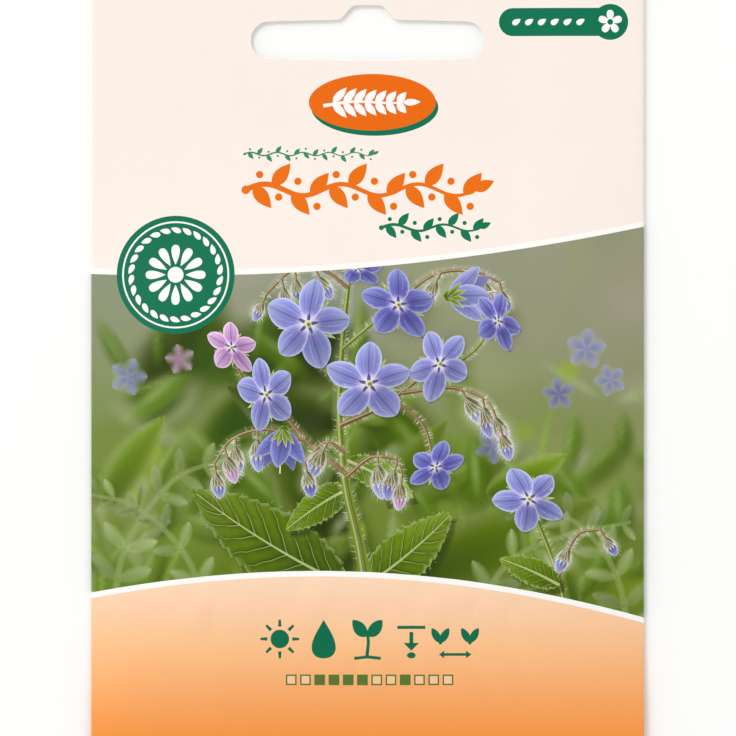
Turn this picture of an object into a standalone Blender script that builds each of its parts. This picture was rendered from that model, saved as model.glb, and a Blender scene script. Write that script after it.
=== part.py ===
"""A flat paper seed packet lying on its back: one folded and glued sheet, its glue and its seeds.

The sheet is a single blank. Its front panel carries the hang slot, its left edge folds under
into the back panel, its right edge folds under into a narrow side flap glued over the back
panel, and its bottom edge folds under into a bottom flap glued over both. The mouth above the
seeds is closed by a band of glue between the two layers of the header.

Frame: X runs across the packet, Y from its bottom edge to its header, Z out of the printed front.
The origin is on the surface that the packet lies on, under the middle of its outline.
"""

import math
import random

import bpy
import bmesh

MM = 0.001

# Driving dimensions of the packet, in millimetres
WIDTH = 80.0
HEIGHT = 118.0
PAPER = 0.2
LAYER_GAP = 0.2
BELLY = 4.4

# The folds: how far each one stands out past the flat panels, measured to the middle of the paper
LEFT_FOLD = 0.2
RIGHT_FOLD = 0.4
BOTTOM_FOLD = 0.4
FOLD_STEPS = 5

# The glued flaps on the back
SIDE_FLAP_WIDTH = 9.5
BOTTOM_FLAP_HEIGHT = 9.0
BOTTOM_FLAP_INSET = 3.0
BOTTOM_FLAP_TAPER = 0.92
BACK_EDGE_CLEARANCE = 0.6

# How the paper over a flap rises onto it: the back panel soon, the front panel more gently
BACK_RAMP = 3.0
FRONT_RAMP = 10.0
RAMP_CLEARANCE = 0.5

# The belly over the seeds: where it is highest, where it ends under the header, and its fullness
BELLY_Y = -24.0
BELLY_END_Y = 34.0
SIDE_FULLNESS = 4.0
FOOT_FULLNESS = 3.0
FADE = 1.5

# The hang slot: a long bar with round ends and a crown that centres the packet on its peg
SLOT_LENGTH = 33.8
SLOT_END_HEIGHT = 5.4
SLOT_BARREL = 0.25
SLOT_CROWN_RISE = 2.1
SLOT_CROWN_TOP = 3.6
SLOT_CROWN_BASE = 8.6
SLOT_FROM_TOP = 11.3
SLOT_BAR_STEPS = 26
SLOT_END_STEPS = 8
SLOT_CUT_Z = (-1.0, 2.0)

# The glue: films between the layers of each seam
GLUE = 0.1
SIDE_GLUE_X = (32.0, 37.0)
SIDE_GLUE_Y = (-44.0, 34.0)
BOTTOM_GLUE_X = (-28.0, 24.5)
BOTTOM_GLUE_Y = (-56.5, -51.5)
MOUTH_GLUE_Y = (36.0, 41.0)
MOUTH_GLUE_INSET = 2.0

# The seeds: nutlets with a collar at the foot, ribs down the side and a blunt tip
SEED_COUNT = 44
SEED_LENGTH = 4.4
SEED_RADIUS = 1.25
SEED_SIDES = 10
SEED_RIB = 0.06
SEED_SPACE = 0.3
SEED_SIZES = (0.9, 0.95, 1.0)
SEED_PROFILE = ((0.0, 0.46), (0.07, 0.6), (0.16, 0.54), (0.36, 0.94), (0.6, 1.0), (0.84, 0.68))
SEED_AREA_X = (-33.0, 33.0)
SEED_AREA_Y = (-52.0, 6.0)
SEED_DRIFT = 1.4
SEED_ROUND_CHECKS = 8
SEED_DRAW = 11
SEED_TRIES = 20000

# The sheet's mesh: the widest gap between its lines, the lines on a ramp, and its sharpest fold
MESH_STEP = 4.5
RAMP_STEPS = 3
SMOOTH_ANGLE = 40.0
ROUNDING = 1e-6

# What follows from the driving dimensions
LAYER = PAPER + LAYER_GAP
LEFT_X = -(WIDTH / 2 - PAPER / 2 - LEFT_FOLD)
RIGHT_X = WIDTH / 2 - PAPER / 2 - RIGHT_FOLD
TOP_Y = HEIGHT / 2
BOTTOM_Y = -(HEIGHT / 2 - PAPER / 2 - BOTTOM_FOLD)
SIDE_FLAP_X = RIGHT_X - SIDE_FLAP_WIDTH
BOTTOM_FLAP_Y = BOTTOM_Y + BOTTOM_FLAP_HEIGHT
BACK_EDGE_X = RIGHT_X - BACK_EDGE_CLEARANCE
SLOT_Y = TOP_Y - SLOT_FROM_TOP


def clear_scene():
    """Removes whatever the file holds, so that only the packet is left."""
    for item in list(bpy.data.objects):
        bpy.data.objects.remove(item)


def material(name, colour, roughness):
    """A Principled material of one plain colour."""
    made = bpy.data.materials.new(name)
    made.use_nodes = True
    shader = made.node_tree.nodes["Principled BSDF"]
    shader.inputs["Base Color"].default_value = (*colour, 1.0)
    shader.inputs["Roughness"].default_value = roughness
    shader.inputs["Metallic"].default_value = 0.0
    return made


def eased(share):
    """0 to 1 with level ends, for a share that is clamped to that range."""
    share = min(1.0, max(0.0, share))
    return share * share * (3.0 - 2.0 * share)


def side_rise(x, ramp):
    """How far the side flap lifts paper that climbs onto it over a ramp of this width."""
    return LAYER * eased((x - (SIDE_FLAP_X - RAMP_CLEARANCE - ramp)) / ramp)


def bottom_rise(y, ramp):
    """How far the bottom flap lifts paper that climbs onto it over a ramp of this width."""
    return LAYER * eased((BOTTOM_FLAP_Y + RAMP_CLEARANCE + ramp - y) / ramp)


def belly(x, y):
    """How far the seeds hold the front panel off the back panel, beyond the gap of flat layers."""
    half_width = (RIGHT_X - LEFT_X) / 2
    across = abs(x - (RIGHT_X + LEFT_X) / 2) / half_width
    if y < BELLY_Y:
        along = (BELLY_Y - y) / (BELLY_Y - BOTTOM_Y)
        lengthwise = 1.0 - min(1.0, along) ** FOOT_FULLNESS
    else:
        along = (y - BELLY_Y) / (BELLY_END_Y - BELLY_Y)
        lengthwise = (1.0 - min(1.0, along) ** 2) ** FADE
    return BELLY * (1.0 - min(1.0, across) ** SIDE_FULLNESS) * lengthwise


def bottom_flap_z():
    """Height of the bottom flap's middle surface."""
    return PAPER / 2


def side_flap_z(y):
    """Height of the side flap's middle surface."""
    return PAPER / 2 + bottom_rise(y, BACK_RAMP)


def back_z(x, y):
    """Height of the back panel's middle surface."""
    return side_flap_z(y) + side_rise(x, BACK_RAMP)


def front_z(x, y):
    """Height of the front panel's middle surface."""
    rise = side_rise(x, FRONT_RAMP) + bottom_rise(y, FRONT_RAMP)
    return PAPER / 2 + rise + LAYER + belly(x, y)


def fold_angles(first, last):
    """The angles of a fold's arc between its two ends, which belong to the panels."""
    return [first + (last - first) * step / FOLD_STEPS for step in range(1, FOLD_STEPS)]


def fold_point(edge, reach, z_low, z_high, angle):
    """A point of a fold: how far out and how high, on an arc from the lower to the upper layer."""
    middle, half = (z_low + z_high) / 2, (z_high - z_low) / 2
    return edge + reach * math.cos(angle), middle + half * math.sin(angle)


def spaced(stops, step):
    """Every stop, with evenly spaced values between neighbours that are more than a step apart."""
    values = [stops[0]]
    for low, high in zip(stops, stops[1:]):
        parts = max(1, math.ceil((high - low) / step - ROUNDING))
        values += [low + (high - low) * part / parts for part in range(1, parts + 1)]
    return values


def ramp_lines(ramp_end, away):
    """Places on both ramps that climb to this end from one side, the nearest to it last."""
    on_back = [BACK_RAMP * (1.0 - step / RAMP_STEPS) for step in range(RAMP_STEPS + 1)]
    return [ramp_end + away * distance for distance in (FRONT_RAMP, *on_back)]


def panel_columns():
    """The places across a panel where its mesh has a line of points."""
    ramps = ramp_lines(SIDE_FLAP_X - RAMP_CLEARANCE, -1.0)
    foot_start, foot_end = LEFT_X + BOTTOM_FLAP_INSET, RIGHT_X - BOTTOM_FLAP_INSET
    stops = [LEFT_X, foot_start, *ramps, SIDE_FLAP_X, foot_end, BACK_EDGE_X, RIGHT_X]
    return spaced(stops, MESH_STEP)


def panel_rows():
    """The places up the packet where its mesh has a line of points."""
    ramps = ramp_lines(BOTTOM_FLAP_Y + RAMP_CLEARANCE, 1.0)
    return spaced([BOTTOM_Y, *reversed(ramps), BELLY_END_Y, *MOUTH_GLUE_Y, TOP_Y], MESH_STEP)


def on_bottom_flap(x):
    """Whether the bottom fold and flap reach this place across the packet."""
    return LEFT_X + BOTTOM_FLAP_INSET - ROUNDING <= x <= RIGHT_X - BOTTOM_FLAP_INSET + ROUNDING


def row_across(y, columns):
    """One line of the sheet at this y, from the side flap's edge round to the back panel's edge."""
    flap = [(x, y, side_flap_z(y)) for x in columns if x >= SIDE_FLAP_X - ROUNDING]
    right = [
        (out, y, z)
        for out, z in (
            fold_point(RIGHT_X, RIGHT_FOLD, side_flap_z(y), front_z(RIGHT_X, y), angle)
            for angle in fold_angles(-math.pi / 2, math.pi / 2)
        )
    ]
    front = [(x, y, front_z(x, y)) for x in reversed(columns)]
    left = [
        (2 * LEFT_X - out, y, z)
        for out, z in (
            fold_point(LEFT_X, LEFT_FOLD, back_z(LEFT_X, y), front_z(LEFT_X, y), angle)
            for angle in fold_angles(math.pi / 2, -math.pi / 2)
        )
    ]
    back = [(x, y, back_z(x, y)) for x in columns if x <= BACK_EDGE_X + ROUNDING]
    return flap + right + front + left + back


def bottom_flap_rows(columns):
    """The bottom fold and flap: lines of points that follow the front panel's bottom edge."""
    rows = []
    for angle in fold_angles(math.pi / 2, -math.pi / 2):
        row = []
        for x in columns:
            out, z = fold_point(BOTTOM_Y, BOTTOM_FOLD, bottom_flap_z(), front_z(x, BOTTOM_Y), angle)
            row.append((x, 2 * BOTTOM_Y - out, z))
        rows.append(row)
    rows.append([(x, BOTTOM_Y, bottom_flap_z()) for x in columns])
    rows.append([(x * BOTTOM_FLAP_TAPER, BOTTOM_FLAP_Y, bottom_flap_z()) for x in columns])
    return rows


def join_rows(mesh, first, second):
    """Faces between two lines of as many vertices."""
    for a, b, c, d in zip(first, first[1:], second[1:], second):
        mesh.faces.new((a, b, c, d))


def add_row(mesh, points):
    """A line of vertices from points in millimetres."""
    return [mesh.verts.new([value * MM for value in point]) for point in points]


def object_from(name, mesh, finish):
    """Links a named object that holds a bmesh's shape."""
    bmesh.ops.recalc_face_normals(mesh, faces=mesh.faces)
    data = bpy.data.meshes.new(name)
    mesh.to_mesh(data)
    mesh.free()
    data.materials.append(finish)
    made = bpy.data.objects.new(name, data)
    bpy.context.scene.collection.objects.link(made)
    return made


def thicken(item, thickness):
    """Gives a sheet its thickness, half to each side."""
    solid = item.modifiers.new("thickness", "SOLIDIFY")
    solid.thickness = thickness * MM
    solid.offset = 0.0
    solid.use_even_offset = True
    solid.use_quality_normals = True


def paper_envelope(finish):
    """The folded sheet: front panel, back panel, side flap and bottom flap in one piece."""
    columns = panel_columns()
    mesh = bmesh.new()
    rows = [add_row(mesh, row_across(y, columns)) for y in panel_rows()]
    for first, second in zip(rows, rows[1:]):
        join_rows(mesh, first, second)
    front_start = sum(x >= SIDE_FLAP_X - ROUNDING for x in columns) + FOLD_STEPS - 1
    front_foot = rows[0][front_start : front_start + len(columns)][::-1]
    above = [vertex for x, vertex in zip(columns, front_foot) if on_bottom_flap(x)]
    for points in bottom_flap_rows([x for x in columns if on_bottom_flap(x)]):
        below = add_row(mesh, points)
        join_rows(mesh, above, below)
        above = below
    sheet = object_from("paper_envelope", mesh, finish)
    sheet.data.shade_smooth()
    sheet.data.set_sharp_from_angle(angle=math.radians(SMOOTH_ANGLE))
    thicken(sheet, PAPER)
    cut = sheet.modifiers.new("hang_slot", "BOOLEAN")
    cut.operation = "DIFFERENCE"
    cut.solver = "EXACT"
    cut.object = slot_cutter()
    return sheet


def slot_outline():
    """The hang slot's outline, anticlockwise from its right end."""
    end_radius = SLOT_END_HEIGHT / 2
    centre = SLOT_LENGTH / 2 - end_radius

    def swell(x):
        return SLOT_BARREL * (1.0 - (x / centre) ** 2)

    def crown(x):
        blend = (SLOT_CROWN_BASE - SLOT_CROWN_TOP) / 2
        return SLOT_CROWN_RISE * eased((SLOT_CROWN_BASE / 2 - abs(x)) / blend)

    along = [centre - 2 * centre * step / SLOT_BAR_STEPS for step in range(SLOT_BAR_STEPS + 1)]
    turns = [math.pi * step / SLOT_END_STEPS for step in range(1, SLOT_END_STEPS)]
    top = [(x, end_radius + swell(x) + crown(x)) for x in along]
    left = [(-centre - end_radius * math.sin(turn), end_radius * math.cos(turn)) for turn in turns]
    bottom = [(-x, -end_radius - swell(x)) for x in along]
    right = [(centre + end_radius * math.sin(turn), -end_radius * math.cos(turn)) for turn in turns]
    return [(x, SLOT_Y + y) for x, y in top + left + bottom + right]


def slot_cutter():
    """A prism through both layers of the header, in the slot's outline."""
    mesh = bmesh.new()
    low, high = SLOT_CUT_Z
    outline = add_row(mesh, [(x, y, low) for x, y in slot_outline()])
    floor = mesh.faces.new(outline)
    raised = bmesh.ops.extrude_face_region(mesh, geom=[floor])["geom"]
    tops = [item for item in raised if isinstance(item, bmesh.types.BMVert)]
    bmesh.ops.translate(mesh, verts=tops, vec=(0.0, 0.0, (high - low) * MM))
    cutter = object_from("slot_cutter", mesh, material("cutter", (0.5, 0.5, 0.5), 0.5))
    cutter.hide_render = True
    cutter.display_type = "WIRE"
    return cutter


def glue_film(name, x_range, y_range, height, finish):
    """A film of glue over a stretch of the sheet's own grid, at the middle of the gap it fills."""
    inside_x = [x for x in panel_columns() if x_range[0] < x < x_range[1]]
    inside_y = [y for y in panel_rows() if y_range[0] < y < y_range[1]]
    mesh = bmesh.new()
    rows = [
        add_row(mesh, [(x, y, height(x, y)) for x in (x_range[0], *inside_x, x_range[1])])
        for y in (y_range[0], *inside_y, y_range[1])
    ]
    for first, second in zip(rows, rows[1:]):
        join_rows(mesh, first, second)
    film = object_from(name, mesh, finish)
    thicken(film, GLUE)
    return film


def glue_films(finish):
    """The three seams: side flap to back panel, bottom flap to back panel, and the closed mouth."""
    half_layer = LAYER / 2
    glue_film(
        "side_seam_glue",
        SIDE_GLUE_X,
        SIDE_GLUE_Y,
        lambda x, y: side_flap_z(y) + half_layer,
        finish,
    )
    glue_film(
        "bottom_seam_glue",
        BOTTOM_GLUE_X,
        BOTTOM_GLUE_Y,
        lambda x, y: bottom_flap_z() + half_layer,
        finish,
    )
    glue_film(
        "mouth_glue",
        (LEFT_X + MOUTH_GLUE_INSET, RIGHT_X - MOUTH_GLUE_INSET),
        MOUTH_GLUE_Y,
        lambda x, y: back_z(x, y) + half_layer,
        finish,
    )


def seed_mesh(size, finish):
    """A ribbed nutlet along X, centred on its own middle, with a flat collar and a blunt tip."""
    mesh = bmesh.new()
    length, radius = SEED_LENGTH * size, SEED_RADIUS * size
    rings = []
    for share, width in SEED_PROFILE:
        ring = []
        for side in range(SEED_SIDES):
            turn = math.tau * side / SEED_SIDES
            rib = 1.0 - SEED_RIB * (side % 2)
            reach = radius * width * rib
            ring.append((length * (share - 0.5), reach * math.cos(turn), reach * math.sin(turn)))
        rings.append(add_row(mesh, ring))
    for first, second in zip(rings, rings[1:]):
        join_rows(mesh, [*first, first[0]], [*second, second[0]])
    mesh.faces.new(rings[0])
    (tip,) = add_row(mesh, [(length / 2, 0.0, 0.0)])
    for a, b in zip(rings[-1], [*rings[-1][1:], rings[-1][0]]):
        mesh.faces.new((a, b, tip))
    bmesh.ops.recalc_face_normals(mesh, faces=mesh.faces)
    data = bpy.data.meshes.new(f"seed_{round(size * 100)}")
    mesh.to_mesh(data)
    mesh.free()
    data.materials.append(finish)
    return data


def room_for_seed(x, y, size):
    """Whether the belly is deep enough for a lying seed all round this place."""
    reach = SEED_LENGTH * size / 2
    needed = 2 * SEED_RADIUS * size + 2 * SEED_SPACE
    for step in range(SEED_ROUND_CHECKS):
        turn = math.tau * step / SEED_ROUND_CHECKS
        at_x, at_y = x + reach * math.cos(turn), y + reach * math.sin(turn)
        if side_rise(at_x, BACK_RAMP) > 0.0 or bottom_rise(at_y, BACK_RAMP) > 0.0:
            return False
        if belly(at_x, at_y) + LAYER - PAPER < needed:
            return False
    return True


def seed_line(x, y, turn, size):
    """Points down the middle of a lying seed, for the distance to its neighbours."""
    reach = SEED_LENGTH * size / 2 - SEED_RADIUS * size
    return [
        (x + reach * share * math.cos(turn), y + reach * share * math.sin(turn))
        for share in (-1.0, -0.5, 0.0, 0.5, 1.0)
    ]


def seed_places():
    """Where each seed lies, which way it points and how big it is, none touching another."""
    draw = random.Random(SEED_DRAW)
    places, lines = [], []
    for _ in range(SEED_TRIES):
        if len(places) == SEED_COUNT:
            break
        x = draw.uniform(*SEED_AREA_X)
        y = SEED_AREA_Y[0] + (SEED_AREA_Y[1] - SEED_AREA_Y[0]) * draw.random() ** SEED_DRIFT
        turn, roll = draw.uniform(0.0, math.tau), draw.uniform(0.0, math.tau)
        size = draw.choice(SEED_SIZES)
        line = seed_line(x, y, turn, size)
        apart = 2 * SEED_RADIUS + SEED_SPACE
        clear = all(math.dist(a, b) > apart for other in lines for a in line for b in other)
        if clear and room_for_seed(x, y, size):
            places.append((x, y, turn, roll, size))
            lines.append(line)
    return places


def seeds(finish):
    """The loose seeds, lying in one layer on the back panel's inner face."""
    shapes = {size: seed_mesh(size, finish) for size in SEED_SIZES}
    for number, (x, y, turn, roll, size) in enumerate(seed_places(), start=1):
        seed = bpy.data.objects.new(f"seed_{number:02d}", shapes[size])
        height = PAPER + SEED_SPACE + SEED_RADIUS * size
        seed.location = (x * MM, y * MM, height * MM)
        seed.rotation_euler = (roll, 0.0, turn)
        bpy.context.scene.collection.objects.link(seed)


def main():
    """Builds the packet."""
    clear_scene()
    paper_envelope(material("coated_paper", (0.99, 0.88, 0.80), 0.5))
    glue_films(material("dry_glue", (0.86, 0.82, 0.70), 0.4))
    seeds(material("seed_coat", (0.035, 0.026, 0.02), 0.7))


main()
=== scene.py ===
"""The looks of a paper seed packet: its printed and folded sheet, its glue and its seeds.

The packet lies on its back under a camera that looks straight down. Its print is drawn in
millimetres on the flat sheet, cut into triangles along the outlines of the printed shapes, and
then folded by the rules of the solid that it stands for.
"""

import logging
import math
import random
from collections import defaultdict
from dataclasses import asdict, dataclass, field, replace
from enum import Enum
from typing import Callable, Protocol, Sequence

import bpy
import numpy as np
from bpy.types import ID, Material, Mesh, Node, NodeOutputs, NodeSocket, NodeTree, Object
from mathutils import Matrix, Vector
from mathutils.geometry import delaunay_2d_cdt


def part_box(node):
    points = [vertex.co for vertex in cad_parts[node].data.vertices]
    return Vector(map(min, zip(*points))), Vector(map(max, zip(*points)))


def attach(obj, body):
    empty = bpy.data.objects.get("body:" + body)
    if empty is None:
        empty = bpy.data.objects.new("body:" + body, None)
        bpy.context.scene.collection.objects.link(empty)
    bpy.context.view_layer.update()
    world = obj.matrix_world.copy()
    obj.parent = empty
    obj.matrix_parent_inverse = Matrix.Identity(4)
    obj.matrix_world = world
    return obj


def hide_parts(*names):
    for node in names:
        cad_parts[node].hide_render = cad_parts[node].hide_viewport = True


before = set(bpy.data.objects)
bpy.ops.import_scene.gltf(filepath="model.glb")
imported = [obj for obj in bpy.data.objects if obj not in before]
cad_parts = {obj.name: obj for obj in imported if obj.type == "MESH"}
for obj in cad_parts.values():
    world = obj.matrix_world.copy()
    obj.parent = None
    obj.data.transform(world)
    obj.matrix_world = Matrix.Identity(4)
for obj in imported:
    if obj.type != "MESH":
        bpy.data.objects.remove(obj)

logging.basicConfig(level=logging.INFO, format="%(message)s")
log = logging.getLogger("seed_packet")

Array = np.ndarray
Pair = tuple[float, float]
Box = tuple[Pair, Pair]
Route = tuple[Pair, ...]
MM = 0.001
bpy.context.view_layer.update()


# Colours and small rules


def srgb(colour: str) -> Array:
    """The red, green and blue of a #RRGGBB colour, from 0 to 1, as a screen shows them."""
    return np.array([int(colour[place : place + 2], 16) / 255 for place in (1, 3, 5)])


def linear(colour: str | Array) -> Array:
    """Turns a #RRGGBB colour, or an array of screen values, to the linear values of the shaders."""
    shown = srgb(colour) if isinstance(colour, str) else colour
    return np.where(shown <= 0.04045, shown / 12.92, ((shown + 0.055) / 1.055) ** 2.4)


def laid_over(under: Array, colour: Array, share: Array | float) -> Array:
    """Lays a colour over others, by a share from 0 to 1."""
    return under + (colour - under) * share


def eased(share: Array) -> Array:
    """Turns 0 to 1 into the same range with level ends, clamping what lies outside it."""
    share = np.clip(share, 0.0, 1.0)
    return share * share * (3.0 - 2.0 * share)


def ramp(colours: Sequence[str], share: Array) -> Array:
    """Reads colours off an even ramp of #RRGGBB stops, at shares from 0 to 1."""
    stops = np.array([srgb(colour) for colour in colours])
    at = np.linspace(0.0, 1.0, len(colours))
    return np.stack([np.interp(share, at, stops[:, channel]) for channel in range(3)], axis=1)


def anticlockwise(outline: Array) -> Array:
    """A closed outline, turned round where it runs clockwise."""
    ahead = np.roll(outline, -1, axis=0)
    area = np.sum(outline[:, 0] * ahead[:, 1] - ahead[:, 0] * outline[:, 1])
    return outline if area > 0 else outline[::-1]


def stepped(points: Array, step: float, closed: bool = True) -> Array:
    """Adds points so that no two neighbours are more than a step apart.

    Args:
        points: a line's points in millimetres.
        step: the widest gap that stays.
        closed: whether it runs back to its first point.

    Returns:
        The line with its added points.
    """
    ends = np.roll(points, -1, axis=0) if closed else points[1:]
    made = []
    for start, end in zip(points, ends):
        parts = max(1, math.ceil(math.dist(start, end) / step))
        made.append(start + (end - start) * (np.arange(parts) / parts)[:, None])
    if not closed:
        made.append(points[-1:])
    return np.concatenate(made)


def circle(radius: float = 1.0, steps: int = 28) -> Array:
    """The outline of a circle round the origin."""
    turn = np.arange(steps) * math.tau / steps
    return radius * np.stack([np.cos(turn), np.sin(turn)], axis=1)


def rectangle(left: float, bottom: float, right: float, top: float) -> Array:
    """The outline of an upright rectangle."""
    return np.array([(left, bottom), (right, bottom), (right, top), (left, top)])


def smooth_path(stops: Sequence[Pair], steps: int = 8) -> Array:
    """A smooth line through a few stops.

    Args:
        stops: the places on its way.
        steps: its points from one stop to the next.

    Returns:
        The line's points.
    """
    at = np.array(stops, dtype=float)
    padded = np.concatenate([2 * at[:1] - at[1:2], at, 2 * at[-1:] - at[-2:-1]])
    share = (np.arange(steps) / steps)[:, None]
    made = []
    for a, b, c, d in zip(padded, padded[1:], padded[2:], padded[3:]):
        made.append(
            0.5 * (2 * b + (c - a) * share + (2 * a - 5 * b + 4 * c - d) * share**2
                   + (3 * b - a - 3 * c + d) * share**3)
        )
    return np.concatenate([*made, at[-1:]])


def leftward(path: Array) -> Array:
    """The direction to the left of a line at each of its points, one unit long."""
    along = np.gradient(path, axis=0)
    along /= np.linalg.norm(along, axis=1, keepdims=True)
    return np.stack([-along[:, 1], along[:, 0]], axis=1)


def ribbon(path: Array, start: float, end: float) -> Array:
    """The outline of a line whose width runs evenly from its start to its end."""
    across = leftward(path)
    half = np.linspace(start, end, len(path))[:, None] / 2
    return np.concatenate([path - across * half, (path + across * half)[::-1]])


def rotation(degrees: float) -> Array:
    """The matrix of a turn."""
    angle = math.radians(degrees)
    return np.array([[math.cos(angle), -math.sin(angle)], [math.sin(angle), math.cos(angle)]])


@dataclass(frozen=True)
class Spot:
    """A place on the sheet with its own turned, sized and foreshortened axes."""

    origin: Array
    axes: Array

    def at(self, x: float, y: float, turn: float = 0.0, size: float = 1.0,
           squash: float = 1.0, lean: float = 0.0) -> "Spot":
        """A spot inside this one; squash is what is left of its width along the lean."""
        inner = rotation(lean) @ np.diag((squash, 1.0)) @ rotation(-lean) @ rotation(turn) * size
        return Spot(self.place(np.array([[x, y]]))[0], self.axes @ inner)

    def turned(self, *angles: float) -> list["Spot"]:
        """This spot, turned by each of these angles in degrees."""
        return [self.at(0.0, 0.0, angle) for angle in angles]

    def fan(self, count: int, start: float = 0.0) -> list["Spot"]:
        """This spot, turned evenly all the way round from a first angle."""
        return self.turned(*(start + 360 / count * place for place in range(count)))

    def place(self, points: Array) -> Array:
        """Turns this spot's own coordinates into the sheet's."""
        return points @ self.axes.T + self.origin

    def local(self, points: Array) -> Array:
        """Turns the sheet's coordinates into this spot's own."""
        return (points - self.origin) @ np.linalg.inv(self.axes).T

    def lit(self, direction: Pair) -> float:
        """How far one of its directions points at the picture's light, from -1 to 1."""
        heading = self.axes @ direction
        return float(heading @ LIGHT_FROM) / np.linalg.norm(heading)


PAGE = Spot(np.zeros(2), np.eye(2))
LIGHT_FROM = np.array([-0.6, 0.8])


@dataclass(frozen=True)
class Blade:
    """A leaf-like shape from a root to a tip: a petal, a leaf, a bud, a drop or a seed.

    Its side veins start at vein_start, cover vein_span of its length and lean by vein_lean.
    """

    spot: Spot
    length: float
    half_width: float
    root: float = 0.8
    tip: float = 0.8
    bend: float = 0.0
    teeth: int = 0
    tooth: float = 0.14
    notch: float = 0.002
    vein_start: float = 0.06
    vein_span: float = 0.82
    vein_lean: float = 0.2

    def half(self, share: Array) -> Array:
        """Half the width along the shape.

        Args:
            share: how far each place is from the root to the tip, 0 to 1.

        Returns:
            The half width at each place, with its teeth if the shape has them.
        """
        share = np.clip(share, 0.0, 1.0)
        widest = self.root / (self.root + self.tip)
        full = (share / widest) ** self.root * ((1 - share) / (1 - widest)) ** self.tip
        if self.teeth:
            full = full * (0.9 + self.tooth * np.mod(-share * self.teeth, 1.0))
        return self.half_width * full

    def point(self, share: Array, side: Array | float) -> Array:
        """Places on the sheet, by shares of the length and places aside from -1 to 1."""
        across = self.bend * share**2 + side * self.half(share)
        return self.spot.place(np.stack([share * self.length, across], axis=1))

    def outline(self, steps: int = 12) -> Array:
        """The shape's outline, from its root along one edge to the tip and back.

        Args:
            steps: the points of an edge without teeth.

        Returns:
            The outline's points, in millimetres.
        """
        if self.teeth:
            fine = np.arange(self.teeth * 3 + 1) / (self.teeth * 3)
            share = np.sort(np.concatenate([fine, fine[3::3] - self.notch]))
        else:
            share = (1 - np.cos(np.linspace(0.0, math.pi, steps))) / 2
        return np.concatenate([self.point(share, -1.0), self.point(share[-2:0:-1], 1.0)])

    def vein(self, pair: int, pairs: int, side: float) -> tuple[Array, Array]:
        """The shares and places aside of one side vein, from the midrib out."""
        aside = np.linspace(0.0, 0.88, 6)
        return self.vein_start + self.vein_span * pair / pairs + self.vein_lean * aside, side * aside

    def pleat(self, share: Array, side: Array, pairs: int) -> Array:
        """-1 along the side veins of a leaf and 1 midway between two of them."""
        past = share - self.vein_start - self.vein_lean * np.abs(side)
        return -np.cos(math.tau * past * pairs / self.vein_span)

    def shares(self, points: Array) -> tuple[Array, Array]:
        """Where points of the sheet lie in the shape.

        Args:
            points: the points, in millimetres.

        Returns:
            Their shares of the length and their places aside, as point takes them.
        """
        local = self.spot.local(points)
        share = np.clip(local[:, 0] / self.length, 0.0, 1.0)
        reach = np.maximum(self.half(share), 0.02 * self.half_width)
        side = (local[:, 1] - self.bend * share**2) / reach
        return share, np.clip(side, -1.0, 1.0)

    def shadow(self, shift: Pair) -> "Blade":
        """A wider copy of the shape with a smooth edge, moved aside."""
        moved = replace(self.spot, origin=self.spot.origin + shift)
        return replace(self, spot=moved, teeth=0, half_width=self.half_width * 1.2)


# The inks


class Ink(Protocol):
    """What colours a printed shape."""

    def over(self, at: Array, under: Array) -> Array:
        """Prints on some points.

        Args:
            at: the points, in millimetres on the sheet.
            under: the colours already there, in screen values.

        Returns:
            The colours that show then.
        """


@dataclass(frozen=True)
class Flat:
    """One plain ink."""

    colour: str
    opacity: float = 1.0

    def over(self, at: Array, under: Array) -> Array:
        """The ink's colour, let through by its opacity."""
        return laid_over(under, srgb(self.colour), self.opacity)


@dataclass(frozen=True)
class Wash:
    """A ramp of colours that runs from one place to another."""

    colours: tuple[str, ...]
    start: Pair
    end: Pair

    def over(self, at: Array, under: Array) -> Array:
        """The ramp's colour by how far along it each point lies."""
        line = np.subtract(self.end, self.start)
        return ramp(self.colours, (at - self.start) @ line / (line @ line))


@dataclass(frozen=True)
class Glow:
    """A soft spot of one colour that fades out towards its edge."""

    spot: Spot
    colour: str
    opacity: float

    def over(self, at: Array, under: Array) -> Array:
        """The colour, strongest in the middle."""
        reach = np.linalg.norm(self.spot.local(at), axis=1)
        return laid_over(under, srgb(self.colour), eased(1.0 - reach)[:, None] * self.opacity)


@dataclass(frozen=True)
class BladeInk:
    """Colours that follow a blade: a ramp down its length, a rim, and light from the upper left."""

    blade: Blade
    colours: tuple[str, ...]
    rim: str = ""
    rim_depth: float = 0.3
    light: float = 0.0
    crease: float = 0.0
    crease_width: float = 0.22
    pleats: int = 0
    pleat_depth: float = 0.09
    exposure: float = 1.0
    opacity: float = 1.0
    feather: float = 0.0

    def over(self, at: Array, under: Array) -> Array:
        """The blade's colour, which fades towards its edges where it has a feather."""
        share, side = self.blade.shares(at)
        aside = np.abs(side)
        lit = self.light * self.blade.spot.lit((0.0, 1.0))
        shade = self.exposure + lit * side - self.crease * np.exp(-((side / self.crease_width) ** 2))
        if self.pleats:
            shade = shade + self.pleat_depth * self.blade.pleat(share, side, self.pleats) * (1 - aside**4)
        colour = ramp(self.colours, share) * shade[:, None]
        if self.rim:
            edge = eased((aside - 1.0 + self.rim_depth) / self.rim_depth)[:, None]
            colour = laid_over(colour, srgb(self.rim) * self.exposure, edge)
        strength = np.full_like(side, self.opacity)
        if self.feather:
            strength = strength * eased((1.0 - aside) / self.feather)
        return laid_over(under, np.clip(colour, 0.0, 1.0), strength[:, None])


@dataclass(frozen=True)
class Patch:
    """One out-of-focus leaf, stalk or flower of the printed garden."""

    x: float
    y: float
    long: float
    wide: float
    turn: float
    colour: str
    strength: float
    softness: float


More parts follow.
